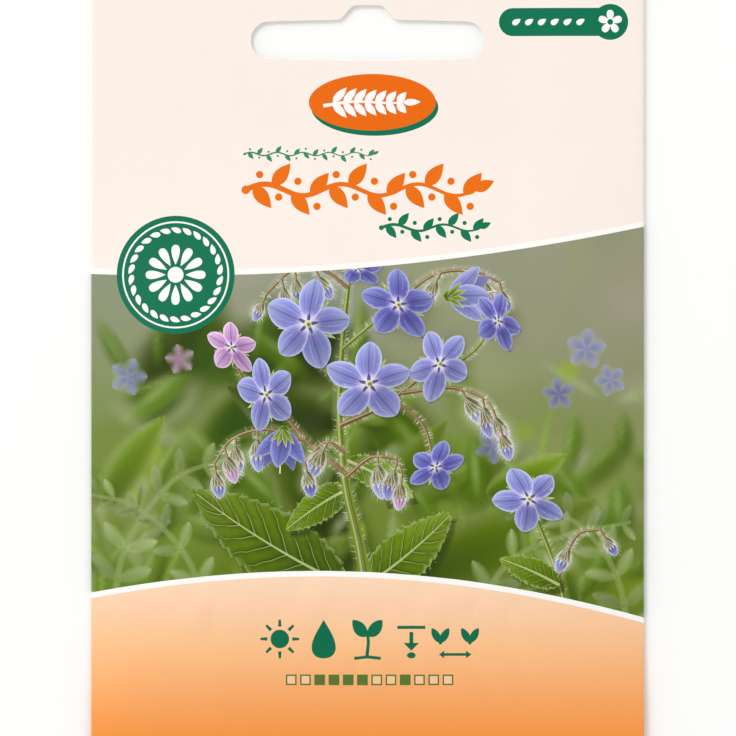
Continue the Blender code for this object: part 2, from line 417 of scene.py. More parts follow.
@dataclass(frozen=True)
class BlurredGarden:
    """Greenery far out of focus: a tinted ground under many soft patches."""

    left: tuple[str, ...]
    right: tuple[str, ...]
    top: float
    bottom: float
    half_width: float
    patches: tuple[Patch, ...]

    def over(self, at: Array, under: Array) -> Array:
        """The ground's colour with every patch laid over it in turn."""
        down = (self.top - at[:, 1]) / (self.top - self.bottom)
        across = np.clip(at[:, 0] / self.half_width / 2 + 0.5, 0.0, 1.0)[:, None]
        colour = ramp(self.left, down) * (1 - across) + ramp(self.right, down) * across
        for patch in self.patches:
            turn = math.radians(patch.turn)
            x, y = at[:, 0] - patch.x, at[:, 1] - patch.y
            along = (x * math.cos(turn) + y * math.sin(turn)) / patch.long
            aside = (y * math.cos(turn) - x * math.sin(turn)) / patch.wide
            share = eased((1.0 - np.hypot(along, aside)) / patch.softness) * patch.strength
            colour = laid_over(colour, srgb(patch.colour), share[:, None])
        return colour


# The flat sheet and what is printed on it


def triangulate(loops: Sequence[Array], lines: Sequence[Array], strewn: Sequence[Array]) \
        -> tuple[Array, list, list, list]:
    """Cuts a flat sheet into triangles.

    Args:
        loops: closed outlines that triangles may not cross, anticlockwise.
        lines: open lines that they may not cross.
        strewn: further points for their corners.

    Returns:
        The points, the triangles, the loops over each triangle, and the given points at each point.
    """
    points, edges, faces = [], [], []
    for loop in loops:
        faces.append(list(range(len(points), len(points) + len(loop))))
        points.extend(loop.tolist())
    for line in lines:
        first = len(points)
        edges.extend((first + place, first + place + 1) for place in range(len(line) - 1))
        points.extend(line.tolist())
    points.extend(np.concatenate(strewn).tolist())
    inside, nearest = 1, 1e-4
    found = delaunay_2d_cdt([Vector(point) for point in points], edges, faces, inside, nearest, True)
    return np.array([tuple(point) for point in found[0]]), found[2], found[5], found[3]


def one_way_edges(faces: Array) -> dict[int, int]:
    """The end of each edge that only one triangle has, by its start."""
    edges = np.concatenate([faces[:, [a, b]] for a, b in ((0, 1), (1, 2), (2, 0))]).tolist()
    known = set(map(tuple, edges))
    return {a: b for a, b in edges if (b, a) not in known}


def renumbered(points: Array, faces: Array) -> tuple[Array, Array, dict[int, int]]:
    """Drops the points that no triangle uses; each new number is given by its old one."""
    used, renamed = np.unique(faces, return_inverse=True)
    return points[used], renamed.reshape(-1, 3), {int(old): new for new, old in enumerate(used)}


def box_of(points: Array) -> Box:
    """The lowest and the highest corner of the box round some points."""
    return tuple(points.min(axis=0)), tuple(points.max(axis=0))


def lattice(box: Box, spacing: float) -> Array:
    """Points that fill a box in rows, each row set off by half a step from the last.

    Args:
        box: the box's corners.
        spacing: the distance between neighbours.

    Returns:
        The points.
    """
    (left, low), (right, high) = box
    rows = np.arange(low, high, spacing * math.sqrt(3) / 2)
    x, y = np.meshgrid(np.arange(left, right, spacing), rows)
    x = x + (np.arange(len(rows)) % 2 * spacing / 2)[:, None]
    return np.stack([x.ravel(), y.ravel()], axis=1)


@dataclass
class CutPrint:
    """A sheet cut into triangles: its printed side, and a plainer back with the same edges.

    The partner of each of the printed side's edge points is the back's point under it.
    """

    points: Array
    faces: Array
    colours: Array
    back_points: Array
    back_faces: Array
    partners: dict[int, int]


@dataclass
class PrintedSheet:
    """A flat sheet in its cut outline, with shapes printed on it one over another."""

    outline: Array
    hole: Array
    paper: Ink
    step: float = 1.2
    back_spacing: float = 1.5
    outlines: list[Array] = field(default_factory=list)
    inks: list[Ink] = field(default_factory=list)
    creases: list[Array] = field(default_factory=list)
    strewn: list[Array] = field(default_factory=list)

    def draw(self, outline: Array, ink: Ink) -> None:
        """Prints a closed shape over what is there."""
        self.outlines.append(stepped(anticlockwise(outline), self.step))
        self.inks.append(ink)

    def stroke(self, path: Array, widths: Pair, ink: Ink) -> None:
        """Prints a tapering line."""
        self.draw(ribbon(path, *widths), ink)

    def paint(self, blade: Blade, steps: int, colours: tuple[str, ...], **ink: float | str) -> None:
        """Prints a blade in a ramp of colours and further fields of its BladeInk."""
        self.draw(blade.outline(steps), BladeInk(blade, colours, **ink))

    def disc(self, spot: Spot, radius: float, ink: Ink, steps: int = 28) -> None:
        """Prints a disc round a spot, its radius in the spot's own measure."""
        self.draw(spot.place(circle(radius, steps)), ink)

    def glow(self, spot: Spot, colour: str, opacity: float) -> None:
        """Prints a soft disc that fades out at the spot's size."""
        self.disc(spot, 1.0, Glow(spot, colour, opacity))

    def crease(self, start: Pair, end: Pair) -> None:
        """Gives the sheet a line of points to bend on."""
        self.creases.append(stepped(np.array([start, end], dtype=float), self.step, closed=False))

    def sample(self, box: Box, spacing: float, inner: Box | None = None) -> None:
        """Strews points in a box, so that washes come out smooth.

        Args:
            box: the box's corners.
            spacing: the distance between the points.
            inner: a box in it that is left out.
        """
        points = lattice(box, spacing)
        if inner:
            points = points[~np.all((points > inner[0]) & (points < inner[1]), axis=1)]
        self.strewn.append(points)

    def cut(self) -> CutPrint:
        """Cuts the sheet along all its outlines and colours each triangle by the shapes over it.

        Returns:
            The triangles inside the sheet's outline and outside its hole, on both its sides.
        """
        edge, hole = (stepped(anticlockwise(loop), self.step) for loop in (self.outline, self.hole))
        points, found, marks, _ = triangulate([edge, *self.outlines, hole], self.creases, self.strewn)
        hole_mark = len(self.outlines) + 1
        kept = [place for place, over in enumerate(marks) if 0 in over and hole_mark not in over]
        triangles = np.array([found[place] for place in kept])
        shapes = defaultdict(list)
        for row, place in enumerate(kept):
            for mark in marks[place]:
                shapes[mark].append(row)
        colours = np.zeros((len(triangles), 3, 3))
        for mark, ink in enumerate([self.paper, *self.inks]):
            rows = shapes.get(mark)
            if rows:
                at, under = points[triangles[rows]].reshape(-1, 2), colours[rows].reshape(-1, 3)
                colours[rows] = ink.over(at, under).reshape(-1, 3, 3)
        points, triangles, _ = renumbered(points, triangles)
        return CutPrint(points, triangles, colours, *self.back_of(points, triangles))

    def back_of(self, points: Array, faces: Array) -> tuple[Array, Array, dict[int, int]]:
        """Cuts the sheet's plain side, with the printed side's own edge points.

        Args:
            points: the printed side's points.
            faces: its triangles.

        Returns:
            The plain side's points and triangles, and the partners of the printed edge points.
        """
        ahead = one_way_edges(faces)
        walks = []
        while ahead:
            walk = [next(iter(ahead))]
            while walk[-1] in ahead:
                walk.append(ahead.pop(walk[-1]))
            walks.append(walk[:-1])
        walks.sort(key=len, reverse=True)
        walks[1:] = [walk[::-1] for walk in walks[1:]]
        strewn = lattice(box_of(points), self.back_spacing)
        flat, found, marks, origins = triangulate([points[walk] for walk in walks], self.creases, [strewn])
        kept = np.array([face for face, over in zip(found, marks) if list(over) == [0]])
        flat_kept, triangles, place_of = renumbered(flat, kept)
        names = [name for walk in walks for name in walk]
        partners = {
            names[origin]: place_of[place]
            for place, given in enumerate(origins) if place in place_of
            for origin in given if origin < len(names)
        }
        return flat_kept, triangles, partners


# The folded form


@dataclass(frozen=True)
class FoldedForm:
    """How the flat sheet lies once it is folded and filled, in millimetres."""

    width: float
    height: float
    paper: float = 0.2
    layer_gap: float = 0.2
    belly: float = 4.4
    left_fold: float = 0.2
    right_fold: float = 0.4
    bottom_fold: float = 0.4
    side_flap: float = 9.5
    bottom_flap: float = 9.0
    flap_inset: float = 3.0
    flap_taper: float = 0.92
    back_clearance: float = 0.6
    back_ramp: float = 3.0
    front_ramp: float = 10.0
    ramp_clearance: float = 0.5
    belly_y: float = -24.0
    belly_end_y: float = 34.0
    side_fullness: float = 4.0
    foot_fullness: float = 3.0
    fade: float = 1.5
    slot_drop: float = 11.3

    @property
    def layer(self) -> float:
        """The distance between the middles of two layers that lie flat."""
        return self.paper + self.layer_gap

    @property
    def left_x(self) -> float:
        """Where the left fold begins."""
        return self.paper / 2 + self.left_fold - self.width / 2

    @property
    def right_x(self) -> float:
        """Where the right fold begins."""
        return self.width / 2 - self.paper / 2 - self.right_fold

    @property
    def top_y(self) -> float:
        """The top edge."""
        return self.height / 2

    @property
    def bottom_y(self) -> float:
        """Where the bottom fold begins."""
        return self.paper / 2 + self.bottom_fold - self.height / 2

    @property
    def back_edge_x(self) -> float:
        """The back panel's free edge."""
        return self.right_x - self.back_clearance

    @property
    def arcs(self) -> tuple[float, float, float]:
        """How much paper the left, right and bottom folds take."""
        return tuple(math.pi * reach for reach in (self.left_fold, self.right_fold, self.bottom_fold))

    def side_rise(self, x: Array, ramp_width: float) -> Array:
        """How far the side flap lifts paper that climbs onto it over such a ramp."""
        end = self.right_x - self.side_flap - self.ramp_clearance
        return self.layer * eased((x - end + ramp_width) / ramp_width)

    def bottom_rise(self, y: Array, ramp_width: float) -> Array:
        """How far the bottom flap lifts paper that climbs onto it over such a ramp."""
        end = self.bottom_y + self.bottom_flap + self.ramp_clearance
        return self.layer * eased((end + ramp_width - y) / ramp_width)

    def fullness(self, x: Array, y: Array) -> Array:
        """How far the seeds hold the front panel off the back panel.

        Args:
            x: places across the packet.
            y: places up it.

        Returns:
            The gap at each place, in millimetres.
        """
        middle, half = (self.right_x + self.left_x) / 2, (self.right_x - self.left_x) / 2
        across = np.minimum(1.0, np.abs(x - middle) / half)
        below = np.clip((self.belly_y - y) / (self.belly_y - self.bottom_y), 0.0, 1.0)
        above = np.clip((y - self.belly_y) / (self.belly_end_y - self.belly_y), 0.0, 1.0)
        lengthwise = (1.0 - below**self.foot_fullness) * (1.0 - above**2) ** self.fade
        return self.belly * (1.0 - across**self.side_fullness) * lengthwise

    def side_flap_z(self, y: Array) -> Array:
        """Height of the side flap's middle."""
        return self.paper / 2 + self.bottom_rise(y, self.back_ramp)

    def back_z(self, x: Array, y: Array) -> Array:
        """Height of the back panel's middle."""
        return self.side_flap_z(y) + self.side_rise(x, self.back_ramp)

    def front_z(self, x: Array, y: Array) -> Array:
        """Height of the front panel's middle."""
        rise = self.side_rise(x, self.front_ramp) + self.bottom_rise(y, self.front_ramp)
        return self.paper / 2 + rise + self.layer + self.fullness(x, y)

    def front_blank(self) -> Array:
        """The outline of the front panel with its folds and flaps, laid flat."""
        left_arc, right_arc, bottom_arc = self.arcs
        left, right = self.left_x - left_arc, self.right_x + right_arc + self.side_flap
        foot_left, foot_right = self.left_x + self.flap_inset, self.right_x - self.flap_inset
        fold_y = self.bottom_y - bottom_arc
        end_y = fold_y - self.bottom_flap
        return np.array([
            (left, self.top_y), (left, self.bottom_y), (foot_left, self.bottom_y),
            (foot_left, fold_y), (foot_left * self.flap_taper, end_y),
            (foot_right * self.flap_taper, end_y), (foot_right, fold_y),
            (foot_right, self.bottom_y), (right, self.bottom_y), (right, self.top_y),
        ])

    def back_blank(self) -> Array:
        """The outline of the back panel as it is seen from behind."""
        return rectangle(-self.back_edge_x, self.bottom_y, -self.left_x, self.top_y)

    def fold(self, flat: Array) -> Array:
        """Folds the front blank.

        Args:
            flat: points of the blank, in millimetres.

        Returns:
            Where the middle of the paper lies once it is folded.
        """
        left_arc, right_arc, bottom_arc = self.arcs
        x = np.clip(flat[:, 0], self.left_x, self.right_x)
        y = np.maximum(flat[:, 1], self.bottom_y)
        z = self.front_z(x, y)
        folds = (
            (flat[:, 0] - self.right_x, right_arc, self.right_fold, self.side_flap_z(y), 0, 1),
            (self.left_x - flat[:, 0], left_arc, self.left_fold, self.back_z(x, y), 0, -1),
            (self.bottom_y - flat[:, 1], bottom_arc, self.bottom_fold, self.paper / 2, 1, -1),
        )
        made = np.stack([x, y, z], axis=1)
        for past, arc, reach, low, axis, sign in folds:
            folded = past > 0.0
            angle = math.pi / 2 - math.pi * np.clip(past / arc, 0.0, 1.0)
            out = reach * np.cos(angle) - np.maximum(0.0, past - arc)
            height = (z + low) / 2 + (z - low) / 2 * np.sin(angle)
            made[folded, axis] += sign * out[folded]
            made[folded, 2] = height[folded]
        return made

    def turn_over(self, flat: Array) -> Array:
        """Lays the back panel, drawn as it is seen from behind, where its paper's middle lies."""
        x, y = -flat[:, 0], flat[:, 1]
        return np.stack([x, y, self.back_z(x, y)], axis=1)


@dataclass(frozen=True)
class HangSlot:
    """A long bar with round ends and a crown that centres the packet on its peg."""

    middle_y: float
    length: float = 33.8
    end_height: float = 5.4
    barrel: float = 0.25
    crown_rise: float = 2.1
    crown_top: float = 3.6
    crown_base: float = 8.6
    side_points: int = 53
    end_points: int = 14

    def outline(self) -> Array:
        """The slot's outline, anticlockwise, round the packet's middle."""
        end = self.end_height / 2
        centre = self.length / 2 - end
        x = np.linspace(centre, -centre, self.side_points)
        swell = self.barrel * (1.0 - (x / centre) ** 2)
        blend = (self.crown_base - self.crown_top) / 2
        crown = self.crown_rise * eased((self.crown_base / 2 - np.abs(x)) / blend)
        turn = np.linspace(0.0, math.pi, self.end_points)[1:-1]
        top = np.stack([x, end + swell + crown], axis=1)
        left = np.stack([-centre - end * np.sin(turn), end * np.cos(turn)], axis=1)
        bottom = np.stack([-x, -end - swell], axis=1)
        return np.concatenate([top, left, bottom, -left]) + (0.0, self.middle_y)


# The printed artwork


class Petals(Enum):
    """The colours of a flower's petals, from the throat to the tip, and their lit rims."""

    VIOLET = (("#E8EBF9", "#9691D0", "#878ACA", "#999ED6", "#ACB3E2"), "#CAD0F1")
    DEEP = (("#D2D5F0", "#716CB7", "#6A68B2", "#7D80C5", "#949AD4"), "#B3BAE8")
    ROSE = (("#F0E2EE", "#CC90C4", "#CF9CCB", "#D9AED6", "#E3C2E4"), "#F0DAF0")


@dataclass(frozen=True)
class Zone:
    """Where out-of-focus patches of one sort are strewn, and between which limits each is drawn."""

    count: int
    x: Pair
    y: Pair
    long: Pair
    wide: Pair
    turn: Pair
    colours: tuple[str, ...]
    strength: Pair
    softness: float
    shadow: str = ""
    light: str = ""

    def strew(self, draw: random.Random) -> list[Patch]:
        """Draws the zone's patches, each between its shadow and its lit side if it has them.

        Args:
            draw: the generator of each number.

        Returns:
            The patches, from the farthest to the nearest.
        """
        made = []
        for _ in range(self.count):
            patch = Patch(
                draw.uniform(*self.x), draw.uniform(*self.y), draw.uniform(*self.long),
                draw.uniform(*self.wide), draw.uniform(*self.turn), draw.choice(self.colours),
                draw.uniform(*self.strength), self.softness,
            )
            aside = patch.wide * 0.5
            if self.shadow:
                made.append(replace(patch, x=patch.x + 0.5 * aside, y=patch.y - aside,
                                    wide=patch.wide * 1.15, colour=self.shadow, softness=0.9))
            made.append(patch)
            if self.light:
                made.append(replace(patch, x=patch.x - 0.3 * aside, y=patch.y + 0.7 * aside,
                                    long=patch.long * 0.8, wide=aside, colour=self.light,
                                    strength=patch.strength * 0.7, softness=0.95))
        return made


@dataclass
class GardenPicture:
    """The picture on the front: bellflowers in focus before a garden that is far out of it."""

    sheet: PrintedSheet
    left: float
    right: float
    top: float = 22.0
    bottom: float = -46.0
    ground_y: float = -32.0
    seed: int = 4
    hair: str = "#EEF0E2"
    shade: str = "#26300A"
    greens: tuple[str, ...] = ("#4C6414", "#66831E", "#7F9A35")
    pale: tuple[str, ...] = ("#7F9452", "#93A568", "#A9B888")
    stalk: str = "#7C8E31"
    ruddy: str = "#93644C"

    # The place and turn of each leaf out of focus, its length, half width, bend and exposure.
    far_leaves: tuple[tuple, ...] = (
        ((-4, -8, 168), 17, 3.4, -2, 0.62), ((-6, -24, 112), 19, 3.6, 2, 0.7),
        ((3, -20, 64), 15, 2.8, -2, 0.85), ((5, -30, 17), 30, 5.2, 2.5, 0.85),
        ((30, -34, 118), 15, 2.8, 1, 0.95), ((-38, -20, 62), 16, 2.6, -1.5, 1),
        ((17, -18, 20), 13, 2.2, 1.5, 1.05),
    )
    # The way of each frond's stalk, its pairs of leaflets and the longest leaflet.
    fronds: tuple[tuple, ...] = (
        (((-37, -38), (-35, -26), (-28, -16), (-19, -12.5)), 8, 5.6),
        (((-22, -38), (-26, -27), (-33, -20), (-40, -18)), 7, 4.8),
        (((38, -42), (36, -30), (30, -22), (21, -19)), 8, 5.4),
        (((14, -38), (20, -28), (28, -24), (38, -22)), 7, 5),
    )
    # The place, turn, size and colours of each flower out of focus.
    far_flowers: tuple[tuple, ...] = (
        (31.5, 3, 10, 3, Petals.VIOLET), (35, -1.5, 40, 2.4, Petals.VIOLET),
        (27.5, -3.5, 25, 2.4, Petals.DEEP), (-34.5, -1, 0, 2.8, Petals.VIOLET),
        (-27, 1.5, 30, 2.2, Petals.ROSE), (18, -11, 60, 2.6, Petals.DEEP),
    )
    # The place and turn of each leaf in focus, its length, half width, bend, veins and exposure.
    leaves: tuple[tuple, ...] = (
        ((-3, -31, 155), 26, 5.4, -3, 8, 0.86), ((-1, -31.5, 33), 17, 3.8, 2, 7, 0.95),
        ((-2.5, -17, 205), 11, 2.5, 1.6, 6, 0.98), ((-3, -13, -22), 11, 2.3, -1.4, 6, 1.04),
        ((27.6, -31, 150), 9.5, 2.1, 1, 5, 1),
    )
    # The way of each stalk, its widths, whether it is ruddy, and its hairs on each side.
    stalks: tuple[tuple, ...] = (
        (((0.5, -37), (-1, -26), (-3.2, -16), (-4, -6), (-3.6, 4), (-2.6, 13.5)),
         (1.9, 0.6), False, 54),
        (((-3, -15), (-8.5, -10.5), (-14.5, -3.5)), (0.8, 0.48), True, 17),
        (((-12, -6.5), (-17, -3), (-19.5, 2.5)), (0.55, 0.33), True, 17),
        (((-3.9, -8), (2.5, -5), (9, 0)), (0.8, 0.48), True, 17),
        (((-3.8, -2), (-8, 2), (-8.5, 6)), (0.7, 0.42), False, 17),
        (((-3.6, 3), (0.5, 6.5), (4, 9.5)), (0.7, 0.42), False, 17),
        (((8, -0.5), (14.5, 2), (18.6, 7)), (0.6, 0.36), False, 17),
        (((4, -4.5), (8, -8), (9.6, -13.5)), (0.6, 0.36), True, 17),
        (((30, -42), (27.5, -30), (23.5, -19.5)), (1, 0.6), False, 17),
    )
    # The way of each side stalk with buds, how many it carries and the length of the biggest.
    sprays: tuple[tuple, ...] = (
        (((5, -3.4), (12, -2.6), (17, -4.4), (19, -8)), 4, 4.8),
        (((-9, -10.2), (-14.5, -8.6), (-19.5, -10), (-22, -13.5)), 4, 4.6),
        (((2, 7.5), (9, 13.4), (15, 14.2), (19, 12.6)), 4, 3.9),
        (((-3, -15.4), (0.5, -12.6), (4, -13), (5, -15)), 3, 4.8),
        (((-2.8, 11.8), (-6.5, 14.4), (-11, 14.2), (-14.5, 11)), 4, 3.7),
        (((-3.2, -12), (-6, -10.4), (-9, -13.2)), 2, 4.8),
        (((27.4, -30), (30, -24), (33.5, -23)), 2, 3.8),
    )
    # The place, turn, size and colours of each flower seen from the side.
    bells: tuple[tuple, ...] = ((11.6, 10.6, 4, 6.6, Petals.VIOLET), (-12, -8.6, 262, 6, Petals.DEEP))
    # The place, turn, size, squash, lean and colours of each open flower.
    flowers: tuple[tuple, ...] = (
        (-19.6, 3.2, 15, 4.3, 0.8, 40, Petals.ROSE), (-1.4, 14.6, 20, 4, 0.6, 80, Petals.DEEP),
        (4.4, 9.4, 12, 5.9, 0.82, 60, Petals.DEEP), (18.8, 7, 70, 4.7, 0.68, 20, Petals.DEEP),
        (-14.6, -3.6, 30, 5.6, 0.8, 10, Petals.VIOLET), (9.8, -14, 5, 4.6, 0.72, 120, Petals.DEEP),
        (10.4, 0.8, 50, 5.6, 0.8, 150, Petals.VIOLET), (-8.6, 6.6, 8, 6.5, 0.95, 20, Petals.VIOLET),
        (0.2, -2, 20, 6.4, 0.92, 100, Petals.VIOLET), (23.2, -18.6, 40, 5.4, 0.86, 70, Petals.VIOLET),
    )
    dice: random.Random = field(init=False)

    def __post_init__(self) -> None:
        """Seeds the generator of all that is strewn."""
        self.dice = random.Random(self.seed)

    def backdrop(self) -> None:
        """The garden behind, out of focus."""
        wide, every, leafy = (self.left, self.right), (0.0, 180.0), (10.0, 170.0)
        zones = (
            Zone(9, wide, (4, 20), (9, 18), (5, 9), every,
                 ("#8C9784", "#A39F86", "#99997C", "#A9A48E"), (0.4, 0.8), 0.95),
            Zone(12, (8, self.right), (-12, 20), (5, 11), (2.5, 6), every,
                 ("#A9A48C", "#8B9076", "#ACA396", "#99A070"), (0.3, 0.6), 0.9),
            Zone(13, (-30, -6), (-13, 6), (6, 11), (3.5, 7), every,
                 ("#2A3A06", "#243204", "#36460C", "#34500A"), (0.65, 0.95), 0.75),
            Zone(9, (-12, 8), (-27, -8), (6, 11), (3.5, 7), every,
                 ("#2C3C06", "#38480C", "#485E12"), (0.6, 0.9), 0.8),
            Zone(9, (6, 27), (-32, -15), (6, 11), (3.5, 6), every,
                 ("#4C5F18", "#5C7210", "#55671E"), (0.6, 0.9), 0.8),
            Zone(20, wide, (-33, -2), (4, 9), (2, 4.5), every,
                 ("#718334", "#7E9619", "#6F8F2E", "#667A26"), (0.35, 0.7), 0.8),
            Zone(12, (self.left, -24), (-28, 2), (4, 9), (2, 4), every,
                 ("#9BA167", "#98A176", "#8B976E", "#A3AC78"), (0.5, 0.85), 0.85),
            Zone(9, (24, self.right), (-24, -6), (4, 8), (2, 4), every,
                 ("#8F9C59", "#859253", "#98A176"), (0.45, 0.8), 0.85),
            Zone(26, wide, (-32, 0), (3, 7), (0.8, 1.9), (20, 160),
                 ("#A0AE81", "#8FA565", "#B3BD98", "#8BA04A", "#A9B987"), (0.35, 0.7), 0.7),
            Zone(20, wide, (-31, -12), (5, 11), (0.45, 0.9), (50, 130),
                 ("#8FB04A", "#A4B878", "#7F9A3A", "#55701C"), (0.4, 0.7), 0.75),
            Zone(8, (-36, 36), (-24, 2), (1.6, 3.2), (1.4, 2.8), every,
                 ("#9DB52A", "#86A012", "#8DA43E"), (0.5, 0.8), 0.8),
            Zone(34, (self.left, 2), (-32, 6), (3.5, 7.5), (1.2, 2.3), leafy,
                 ("#6B8A2C", "#5A7C1E", "#7A963A", "#4C6C16"), (0.45, 0.8), 0.6, "#33450C", "#A3B676"),
            Zone(30, (2, self.right), (-36, -9), (3.5, 7.5), (1.2, 2.3), leafy,
                 ("#6B8A2C", "#5E8220", "#7A963A", "#56761C"), (0.45, 0.8), 0.6, "#3E520F", "#A3B676"),
        )
        self.sheet.draw(rectangle(self.left, self.bottom, self.right, self.top), BlurredGarden(
            ("#8F9988", "#8C9670", "#74883A", "#64802A"), ("#9D9B80", "#98987A", "#808F4C", "#647C24"),
            self.top, self.ground_y, max(abs(self.left), abs(self.right)),
            tuple(patch for zone in zones for patch in zone.strew(self.dice)),
        ))

    def soft_blade(self, blade: Blade, colours: tuple[str, ...], rim: str, exposure: float = 1.0,
                   opacity: float = 1.0, feather: float = 0.62) -> None:
        """Prints a leaf or a petal that is out of focus.

        Args:
            blade: its shape before the blur.
            colours: its colours from the root to the tip.
            rim: the colour of its edge.
            exposure: its brightness.
            opacity: how much it hides.
            feather: how far in it fades, 0 to 1.
        """
        blurred = replace(blade, half_width=blade.half_width * 1.5)
        inner = np.linspace(0.05, 0.95, 9)
        self.sheet.strewn.extend(blurred.point(inner, side) for side in (-0.6, 0.0, 0.6))
        self.sheet.paint(blurred, 11, colours, rim=rim, rim_depth=0.8, light=0.1, crease=0.05,
                         exposure=exposure, opacity=opacity, feather=feather)

    def frond(self, stops: Route, pairs: int, length: float) -> None:
        """An arching stalk with paired leaflets, out of focus.

        Args:
            stops: the places on its way.
            pairs: its pairs of leaflets.
            length: the longest leaflet.
        """
        path = smooth_path(stops)
        along = np.gradient(path, axis=0)
        for width in (1.2, 0.7):
            self.sheet.stroke(path, (width, width / 2), Flat(self.pale[1], 0.4))
        for pair in range(pairs):
            place = int((0.1 + 0.88 * pair / (pairs - 1)) * (len(path) - 1))
            heading = math.degrees(math.atan2(along[place, 1], along[place, 0]))
            size = length * (1.0 - 0.45 * pair / pairs)
            for side in (-1, 1):
                turn = heading + side * self.dice.uniform(44, 66)
                leaflet = Blade(PAGE.at(*path[place], turn), size, size * 0.17, 0.8, 0.7)
                self.soft_blade(leaflet, self.pale, "#C6CFA4", self.dice.uniform(0.78, 1.1),
                                0.95, 0.95)

    def soft_flower(self, spot: Spot, petals: Petals) -> None:
        """An open flower out of focus, with petals as long as the spot's size."""
        colours, rim = petals.value
        for own in spot.fan(5):
            self.soft_blade(Blade(own, 1.0, 0.34, 0.9, 0.6), colours[1:], rim, 1.0, 0.75, 1.0)

    def hairs(self, roots: Array, aims: Array, length: float, opacity: float = 0.6) -> None:
        """Fine hairs that stand out from a stem or a bud, except where a flower hides them.

        Args:
            roots: where each hair starts, in millimetres.
            aims: the direction of each.
            length: the longest hair.
            opacity: how much they hide.
        """
        for root, aim in zip(roots, aims):
            aim = aim / np.linalg.norm(aim)
            side = np.array([-aim[1], aim[0]]) * 0.06
            reach = length * self.dice.uniform(0.5, 1.0)
            tip = root + aim * reach + side * self.dice.uniform(-4, 4)
            if all(math.dist(tip, place[:2]) > 0.5 * place[3] for place in self.flowers):
                self.sheet.draw(np.array([root - side, root + side, tip]), Flat(self.hair, opacity))

    def stem(self, stops: Route, widths: Pair, ruddy: bool, hairs: int) -> None:
        """A round stalk with a lit side, and a fuzz of hairs.

        Args:
            stops: the places on its way.
            widths: its width at its start and end.
            ruddy: whether it is reddish, not green.
            hairs: its hairs on each side.
        """
        path = smooth_path(stops, 6)
        start, end = widths
        shift = np.array([-0.22, 0.16]) * end
        for fuzz in (1.3, 0.8):
            self.sheet.stroke(path, (start + fuzz, end + fuzz), Flat(self.hair, 0.08))
        self.sheet.stroke(path, widths, Flat(self.ruddy if ruddy else self.stalk))
        self.sheet.stroke(path + shift, (start * 0.4, end * 0.4), Flat("#D0D4A4", 0.6))
        self.sheet.stroke(path - shift, (start * 0.35, end * 0.35), Flat("#3C4A12", 0.45))
        along, across = np.gradient(path, axis=0), leftward(path)
        for side in (-1.0, 1.0):
            places = np.sort([self.dice.uniform(0, len(path) - 2) for _ in range(hairs)])
            picks, past = places.astype(int), (places % 1.0)[:, None]
            roots = path[picks] * (1 - past) + path[picks + 1] * past
            width = np.interp(places, [0, len(path) - 1], widths)[:, None] / 2
            unit = across[picks] * side
            self.hairs(roots + unit * width * 0.9, unit + along[picks] * 0.3, 0.95)

    def veins(self, blade: Blade, sides: Sequence[float], reach: Pair, width: float, ink: Ink) -> None:
        """Veins that fan out from a petal's root, over this reach of its length."""
        share = np.linspace(*reach, 4)
        for side in sides:
            path = blade.point(share, side * np.linspace(0.75, 1.0, 4))
            self.sheet.stroke(path, (width, width * 0.35), ink)

    def leaf(self, place: tuple[float, float, float], length: float, half_width: float, bend: float,
             pairs: int, exposure: float) -> None:
        """A toothed leaf with its midrib and side veins.

        Args:
            place: the x, y and turn of its root.
            length: its length.
            half_width: half its width.
            bend: how far aside its tip curves.
            pairs: its pairs of side veins.
            exposure: its brightness.
        """
        blade = Blade(PAGE.at(*place), length, half_width, 0.62, 0.85, bend, teeth=2 * pairs)
        self.sheet.paint(blade.shadow((0.7, -0.9)), 14, (self.shade,), opacity=0.5, feather=0.5)
        self.sheet.paint(blade, 12, self.greens, rim="#A3B868", rim_depth=0.14, light=0.1, crease=0.1,
                         pleats=pairs, exposure=exposure)
        for pair in range(pairs):
            for side in (-1.0, 1.0):
                share, aside = blade.vein(pair, pairs, side)
                self.sheet.stroke(blade.point(share, aside), (0.17, 0.06), Flat("#B4C67E", 0.6))
                self.sheet.stroke(blade.point(share + 0.01, aside), (0.15, 0.05), Flat("#2F3F0A", 0.4))
        self.sheet.stroke(blade.point(np.linspace(0.0, 0.97, 14), 0.0), (0.45, 0.1), Flat("#C0CF8C", 0.85))
        edge = np.array([self.dice.uniform(0.05, 0.95) for _ in range(3 * pairs)])
        for side in (-1.0, 1.0):
            roots = blade.point(edge, side)
            self.hairs(roots, blade.point(edge + 0.02, side * 1.5) - roots, 0.5, 0.4)

    def sepals(self, spots: Sequence[Spot], length: float, half_width: float) -> None:
        """The thin green leaves that hold a flower or bud, one at each spot."""
        for spot in spots:
            self.sheet.paint(Blade(spot, length, half_width, 0.5, 0.9, 0.02), 8,
                             ("#5A6E24", "#7C9138", "#A3B56A"), rim="#C6D29C", rim_depth=0.4, light=0.18)

